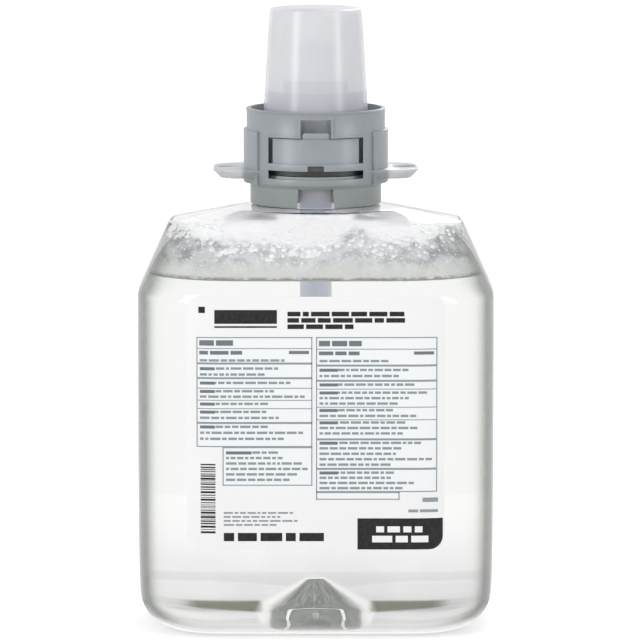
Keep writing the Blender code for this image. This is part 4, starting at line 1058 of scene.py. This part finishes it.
class REFILL_OT_stage(bpy.types.Operator):
    """Sets up the camera, the floor, the sky and the lamps"""

    bl_idname = "refill.stage"
    bl_label = "Stage"

    def execute(self, context):
        sizes = context.scene.refill_stage
        self.camera(context, sizes)
        self.floor(sizes)
        self.sky(context, sizes)
        self.lamps(sizes)
        context.scene.view_settings.view_transform = "Standard"
        return {"FINISHED"}

    def camera(self, context, sizes):
        """Looks at the label from a long way off, a little from above."""
        tilt = sizes.camera_elevation
        place = (
            0,
            -sizes.camera_distance * math.cos(tilt),
            sizes.camera_height + sizes.camera_distance * math.sin(tilt),
        )
        bpy.ops.object.camera_add(location=place, rotation=(math.pi / 2 - tilt, 0, 0))
        camera = context.object
        camera.name = "view_camera"
        camera.data.lens = sizes.camera_lens
        camera.data.shift_x = sizes.shift_across
        camera.data.shift_y = sizes.shift_up
        camera.data.clip_end = 50
        context.scene.camera = camera

    def floor(self, sizes):
        """A wide pale disc that shows white and keeps the shadow."""
        deselect()
        bpy.ops.mesh.primitive_circle_add(vertices=FLOOR_SIDES, radius=sizes.floor_radius, fill_type="NGON")
        floor = bpy.context.object
        floor.name = "floor"
        made = bpy.data.materials.new("floor_white")
        made.use_nodes = True
        made.node_tree.nodes.clear()
        output = add_node(made, "ShaderNodeOutputMaterial")
        paths = add_node(made, "ShaderNodeLightPath")
        seen_in = maths(made, "MAXIMUM", paths.outputs["Is Glossy Ray"], paths.outputs["Is Transmission Ray"])
        matte = add_node(made, "ShaderNodeBsdfDiffuse", {"Color": (0.8, 0.8, 0.8, 1)})
        glow = add_node(made, "ShaderNodeEmission", {"Color": (1, 1, 1, 1)})
        lit = add_node(made, "ShaderNodeAddShader")
        white = add_node(made, "ShaderNodeEmission", {"Color": (1, 1, 1, 1), "Strength": 1.0})
        mixed = add_node(made, "ShaderNodeMixShader")
        for source, target in (
            (product(made, paths.outputs["Is Camera Ray"], FLOOR_GLOW), glow.inputs["Strength"]),
            (matte.outputs[0], lit.inputs[0]),
            (glow.outputs[0], lit.inputs[1]),
            (seen_in, mixed.inputs[0]),
            (lit.outputs[0], mixed.inputs[1]),
            (white.outputs[0], mixed.inputs[2]),
            (mixed.outputs[0], output.inputs["Surface"]),
        ):
            link(made, source, target)
        floor.data.materials.append(made)

    def sky(self, context, sizes):
        """White where it is seen, and an even soft light where it lights."""
        world = context.scene.world or bpy.data.worlds.new("sky")
        context.scene.world = world
        world.use_nodes = True
        world.node_tree.nodes.clear()
        paths = add_node(world, "ShaderNodeLightPath")
        seen = maths(world, "MAXIMUM", paths.outputs["Is Camera Ray"], paths.outputs["Is Glossy Ray"])
        seen = maths(world, "MAXIMUM", seen, paths.outputs["Is Transmission Ray"])
        level = add_node(world, "ShaderNodeMapRange", {"To Min": sizes.sky_level, "To Max": 1.0})
        link(world, seen, level.inputs["Value"])
        sky = add_node(world, "ShaderNodeBackground", {"Color": (1, 1, 1, 1)})
        link(world, level.outputs["Result"], sky.inputs["Strength"])
        output = add_node(world, "ShaderNodeOutputWorld")
        link(world, sky.outputs[0], output.inputs["Surface"])

    def lamps(self, sizes):
        """Tall soft lamps: the key at the front left, a weaker one at the front right and one behind."""
        for name, place, width, height, power in LAMPS:
            turn = (Vector(place) - LAMP_AIM).to_track_quat("Z", "Y").to_euler()
            bpy.ops.object.light_add(type="AREA", location=place, rotation=turn)
            lamp = bpy.context.object
            lamp.name = name
            lamp.data.shape = "RECTANGLE"
            lamp.data.size = width
            lamp.data.size_y = height
            lamp.data.energy = getattr(sizes, power)
            lamp.visible_camera = False
            lamp.visible_transmission = False


class REFILL_OT_bottle(bpy.types.Operator):
    """Smooths the blown bottle and gives it its clear plastic"""

    bl_idname = "refill.bottle"
    bl_label = "Bottle"

    def execute(self, context):
        sizes = context.scene.refill_bottle
        smooth_piece(sizes, "bottle", "bottle_shell", bottle_finish(sizes), BOTTLE)
        return {"FINISHED"}


class REFILL_OT_soap(bpy.types.Operator):
    """Fills the bottle with clear soap"""

    bl_idname = "refill.soap"
    bl_label = "Soap"

    def execute(self, context):
        sizes = context.scene.refill_bottle
        smooth_piece(sizes, "soap_liquid", "soap_fill", soap_finish(sizes), BOTTLE)
        return {"FINISHED"}


class REFILL_OT_foam(bpy.types.Operator):
    """Makes the foam above the soap, with its larger bubbles"""

    bl_idname = "refill.foam"
    bl_label = "Foam"

    def execute(self, context):
        sizes = context.scene.refill_foam
        foam = refined("foam_head", "foam_body", FOAM_SHARP, FOAM_STEPS)
        lumps = bpy.data.textures.new("foam_lumps", "CLOUDS")
        lumps.noise_scale = FOAM_LUMP_SIZE
        lumps.noise_depth = 2
        apply_modifier("DISPLACE", texture=lumps, texture_coords="LOCAL", strength=sizes.lump, mid_level=1.0)
        dress(foam, foam_finish(sizes), BOTTLE, "foam_head")
        self.bubbles(sizes)
        return {"FINISHED"}

    def bubbles(self, sizes):
        """Bubbles that lie in the foam's surface, close against the bottle's wall."""
        randomly = random.Random(BUBBLE_SEED)
        low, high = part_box("foam_head")
        mesh = NODES["foam_head"].data
        corners = [vert.co for vert in mesh.vertices]
        wall = BVHTree.FromPolygons(corners, [face.vertices for face in mesh.polygons])
        piece = start_piece("foam_bubbles")
        large = (sizes.bubble_middle, sizes.bubble_large, LARGE_DROP)
        small = (sizes.bubble_small, sizes.bubble_middle, SMALL_DROP)
        for index in range(sizes.bubble_count):
            turn = randomly.uniform(-math.pi, math.pi)
            way = Vector((math.cos(turn) * BUBBLE_STRETCH, math.sin(turn), 0)).normalized()
            least, most, drop = large if index < sizes.bubble_count * sizes.large_share else small
            radius = randomly.uniform(least, most)
            height = foam_border((high.x * way.x) * BUBBLE_REACH) + randomly.gauss(*drop)
            height = min(high.z - BUBBLE_TOP_GAP, max(low.z + BUBBLE_FOOT_GAP, height))
            place, normal, _, _ = wall.ray_cast(Vector((0, 0, height)) + way * RAY_START, -way)
            centre = place - normal * (radius + sizes.bubble_gap)
            if wall.find_nearest(centre)[3] > radius - sizes.bubble_gap:
                bpy.ops.mesh.primitive_ico_sphere_add(subdivisions=2, radius=radius, location=centre)
        bpy.ops.object.mode_set(mode="OBJECT")
        bpy.ops.object.shade_smooth()
        dress(piece, bubble_finish(sizes), BOTTLE)


class REFILL_OT_label(bpy.types.Operator):
    """Makes the film label and lays its print on it"""

    bl_idname = "refill.label"
    bl_label = "Label"

    def execute(self, context):
        sizes = context.scene.refill_label
        randomly = random.Random(PRINT_SEED)
        film = copied("front_label", "label_sheet")
        bpy.ops.object.shade_smooth_by_angle(angle=LABEL_SHARP)
        film_made = film_finish(sizes)
        dress(film, film_made, BOTTLE, "front_label")
        dark = ink_finish("dark_ink", sizes.dark_ink)
        grey = ink_finish("grey_ink", sizes.grey_ink)
        pale = ink_finish("pale_ink", sizes.pale_ink)
        slate = ink_finish("slate_ink", tuple(sizes.heading_share * channel for channel in sizes.grey_ink))
        lift = sizes.ink_lift
        print_fields("label_panel_ground", ground_fields(), sizes.ground_lift, pale)
        print_fields("label_fine_print", grey_fields(randomly), lift, grey)
        print_fields("label_headings", bold_fields(randomly), lift * 1.5, slate)
        print_fields("label_bold_print", dark_fields(randomly), lift, dark)
        print_fields("label_sign_ground", [SIGN_BOX], lift, dark, SIGN_CORNER)
        print_fields("label_sign_bars", sign_fields(randomly), lift * 2, film_made)
        return {"FINISHED"}


class REFILL_OT_collar(bpy.types.Operator):
    """Rounds the collar moulding's edges and gives it its satin grey"""

    bl_idname = "refill.collar"
    bl_label = "Collar"

    def execute(self, context):
        sizes = context.scene.refill_collar
        collar = copied("outer_collar", "collar_moulding")
        edit_all()
        bpy.ops.mesh.dissolve_limited(angle_limit=FLAT_ANGLE)
        bpy.ops.object.mode_set(mode="OBJECT")
        apply_modifier(
            "BEVEL",
            width=sizes.edge_round,
            segments=sizes.edge_steps,
            limit_method="ANGLE",
            angle_limit=sizes.sharp_angle,
            harden_normals=False,
        )
        bpy.ops.object.shade_smooth_by_angle(angle=sizes.sharp_angle)
        dress(collar, collar_finish(sizes), BOTTLE, "outer_collar")
        return {"FINISHED"}


class REFILL_OT_pump(bpy.types.Operator):
    """Smooths the carrier, the cylinder and the nozzle, and finishes the pieces inside them"""

    bl_idname = "refill.pump"
    bl_label = "Pump"

    def execute(self, context):
        sizes = context.scene.refill_pump
        white = moulded("pump_plastic", sizes.white, 0.38)[0]
        tube = tube_finish(sizes)
        carrier = carrier_finish(sizes)
        rubber = moulded("seal_rubber", sizes.rubber, 0.60, wander=0.03)[0]
        weave = screen_finish(sizes)
        for node, name, finish, body, slot in (
            ("pump_carrier", "carrier_body", carrier, BOTTLE, "carrier_grey"),
            ("liquid_cylinder", "cylinder_tube", tube, BOTTLE, "pump_white"),
            ("cylinder_end_cap", "cylinder_foot", tube, BOTTLE, "pump_white"),
            ("foam_nozzle", "nozzle_body", white, PUMP, "pump_white"),
        ):
            piece = refined(node, name, sizes.sharp_angle, sizes.smooth_steps)
            if node == "liquid_cylinder":
                self.wet(piece, sizes.tube_swell)
            dress(piece, finish, body, node)
        for node, finish in (
            ("neck_gasket", rubber),
            ("inlet_valve", rubber),
            ("liquid_piston_seal", rubber),
            ("air_piston_seal", rubber),
            ("outlet_valve", rubber),
            ("piston_stem", white),
            ("air_piston", white),
            ("screen_cartridge", white),
            ("lower_mesh_screen", weave),
            ("upper_mesh_screen", weave),
        ):
            NODES[node].material_slots[0].material = finish
        return {"FINISHED"}

    def wet(self, piece, film):
        """Widens the cylinder by its film of soap, up to the soap that stands round it."""
        select_only(piece)
        for vert in piece.data.vertices:
            vert.select = vert.co.z < CYLINDER_FLANGE_FOOT
        radius = max(math.hypot(vert.co.x, vert.co.y) for vert in piece.data.vertices if vert.select)
        swell = 1 + film / radius
        bpy.ops.object.mode_set(mode="EDIT")
        bpy.ops.transform.resize(value=(swell, swell, 1), center_override=(0, 0, 0))
        bpy.ops.object.mode_set(mode="OBJECT")


class REFILL_OT_cap(bpy.types.Operator):
    """Smooths the dust cap and gives it its milky plastic"""

    bl_idname = "refill.cap"
    bl_label = "Dust cap"

    def execute(self, context):
        sizes = context.scene.refill_cap
        smooth_piece(sizes, "dust_cap", "cap_shell", cap_finish(sizes), CAP)
        return {"FINISHED"}


OPERATORS = (
    REFILL_OT_stage,
    REFILL_OT_bottle,
    REFILL_OT_soap,
    REFILL_OT_foam,
    REFILL_OT_label,
    REFILL_OT_collar,
    REFILL_OT_pump,
    REFILL_OT_cap,
)


class REFILL_PT_panel(bpy.types.Panel):
    """Lists the pieces of the refill pack with their sizes and colours"""

    bl_idname = "REFILL_PT_panel"
    bl_label = "Refill Pack"
    bl_space_type = "VIEW_3D"
    bl_region_type = "UI"
    bl_category = "Refill Pack"

    def draw(self, context):
        for operator in OPERATORS:
            self.layout.operator(operator.bl_idname)
        for holder, group in SIZE_GROUPS.items():
            box = self.layout.box()
            box.label(text=group.__doc__)
            for name in group.__annotations__:
                box.prop(getattr(context.scene, holder), name)


CLASSES = (*SIZE_GROUPS.values(), *OPERATORS, REFILL_PT_panel)


def register():
    """Registers the classes and gives the scene its sizes."""
    for cls in CLASSES:
        bpy.utils.register_class(cls)
    for holder, group in SIZE_GROUPS.items():
        setattr(bpy.types.Scene, holder, PointerProperty(type=group))


def unregister():
    """Takes the sizes and the classes away again."""
    for holder in SIZE_GROUPS:
        delattr(bpy.types.Scene, holder)
    for cls in reversed(CLASSES):
        bpy.utils.unregister_class(cls)


def main():
    """Makes every piece in order."""
    register()
    bpy.ops.refill.stage()
    bpy.ops.refill.bottle()
    bpy.ops.refill.soap()
    bpy.ops.refill.foam()
    bpy.ops.refill.label()
    bpy.ops.refill.collar()
    bpy.ops.refill.pump()
    bpy.ops.refill.cap()
    deselect()


if __name__ == "__main__":
    main()
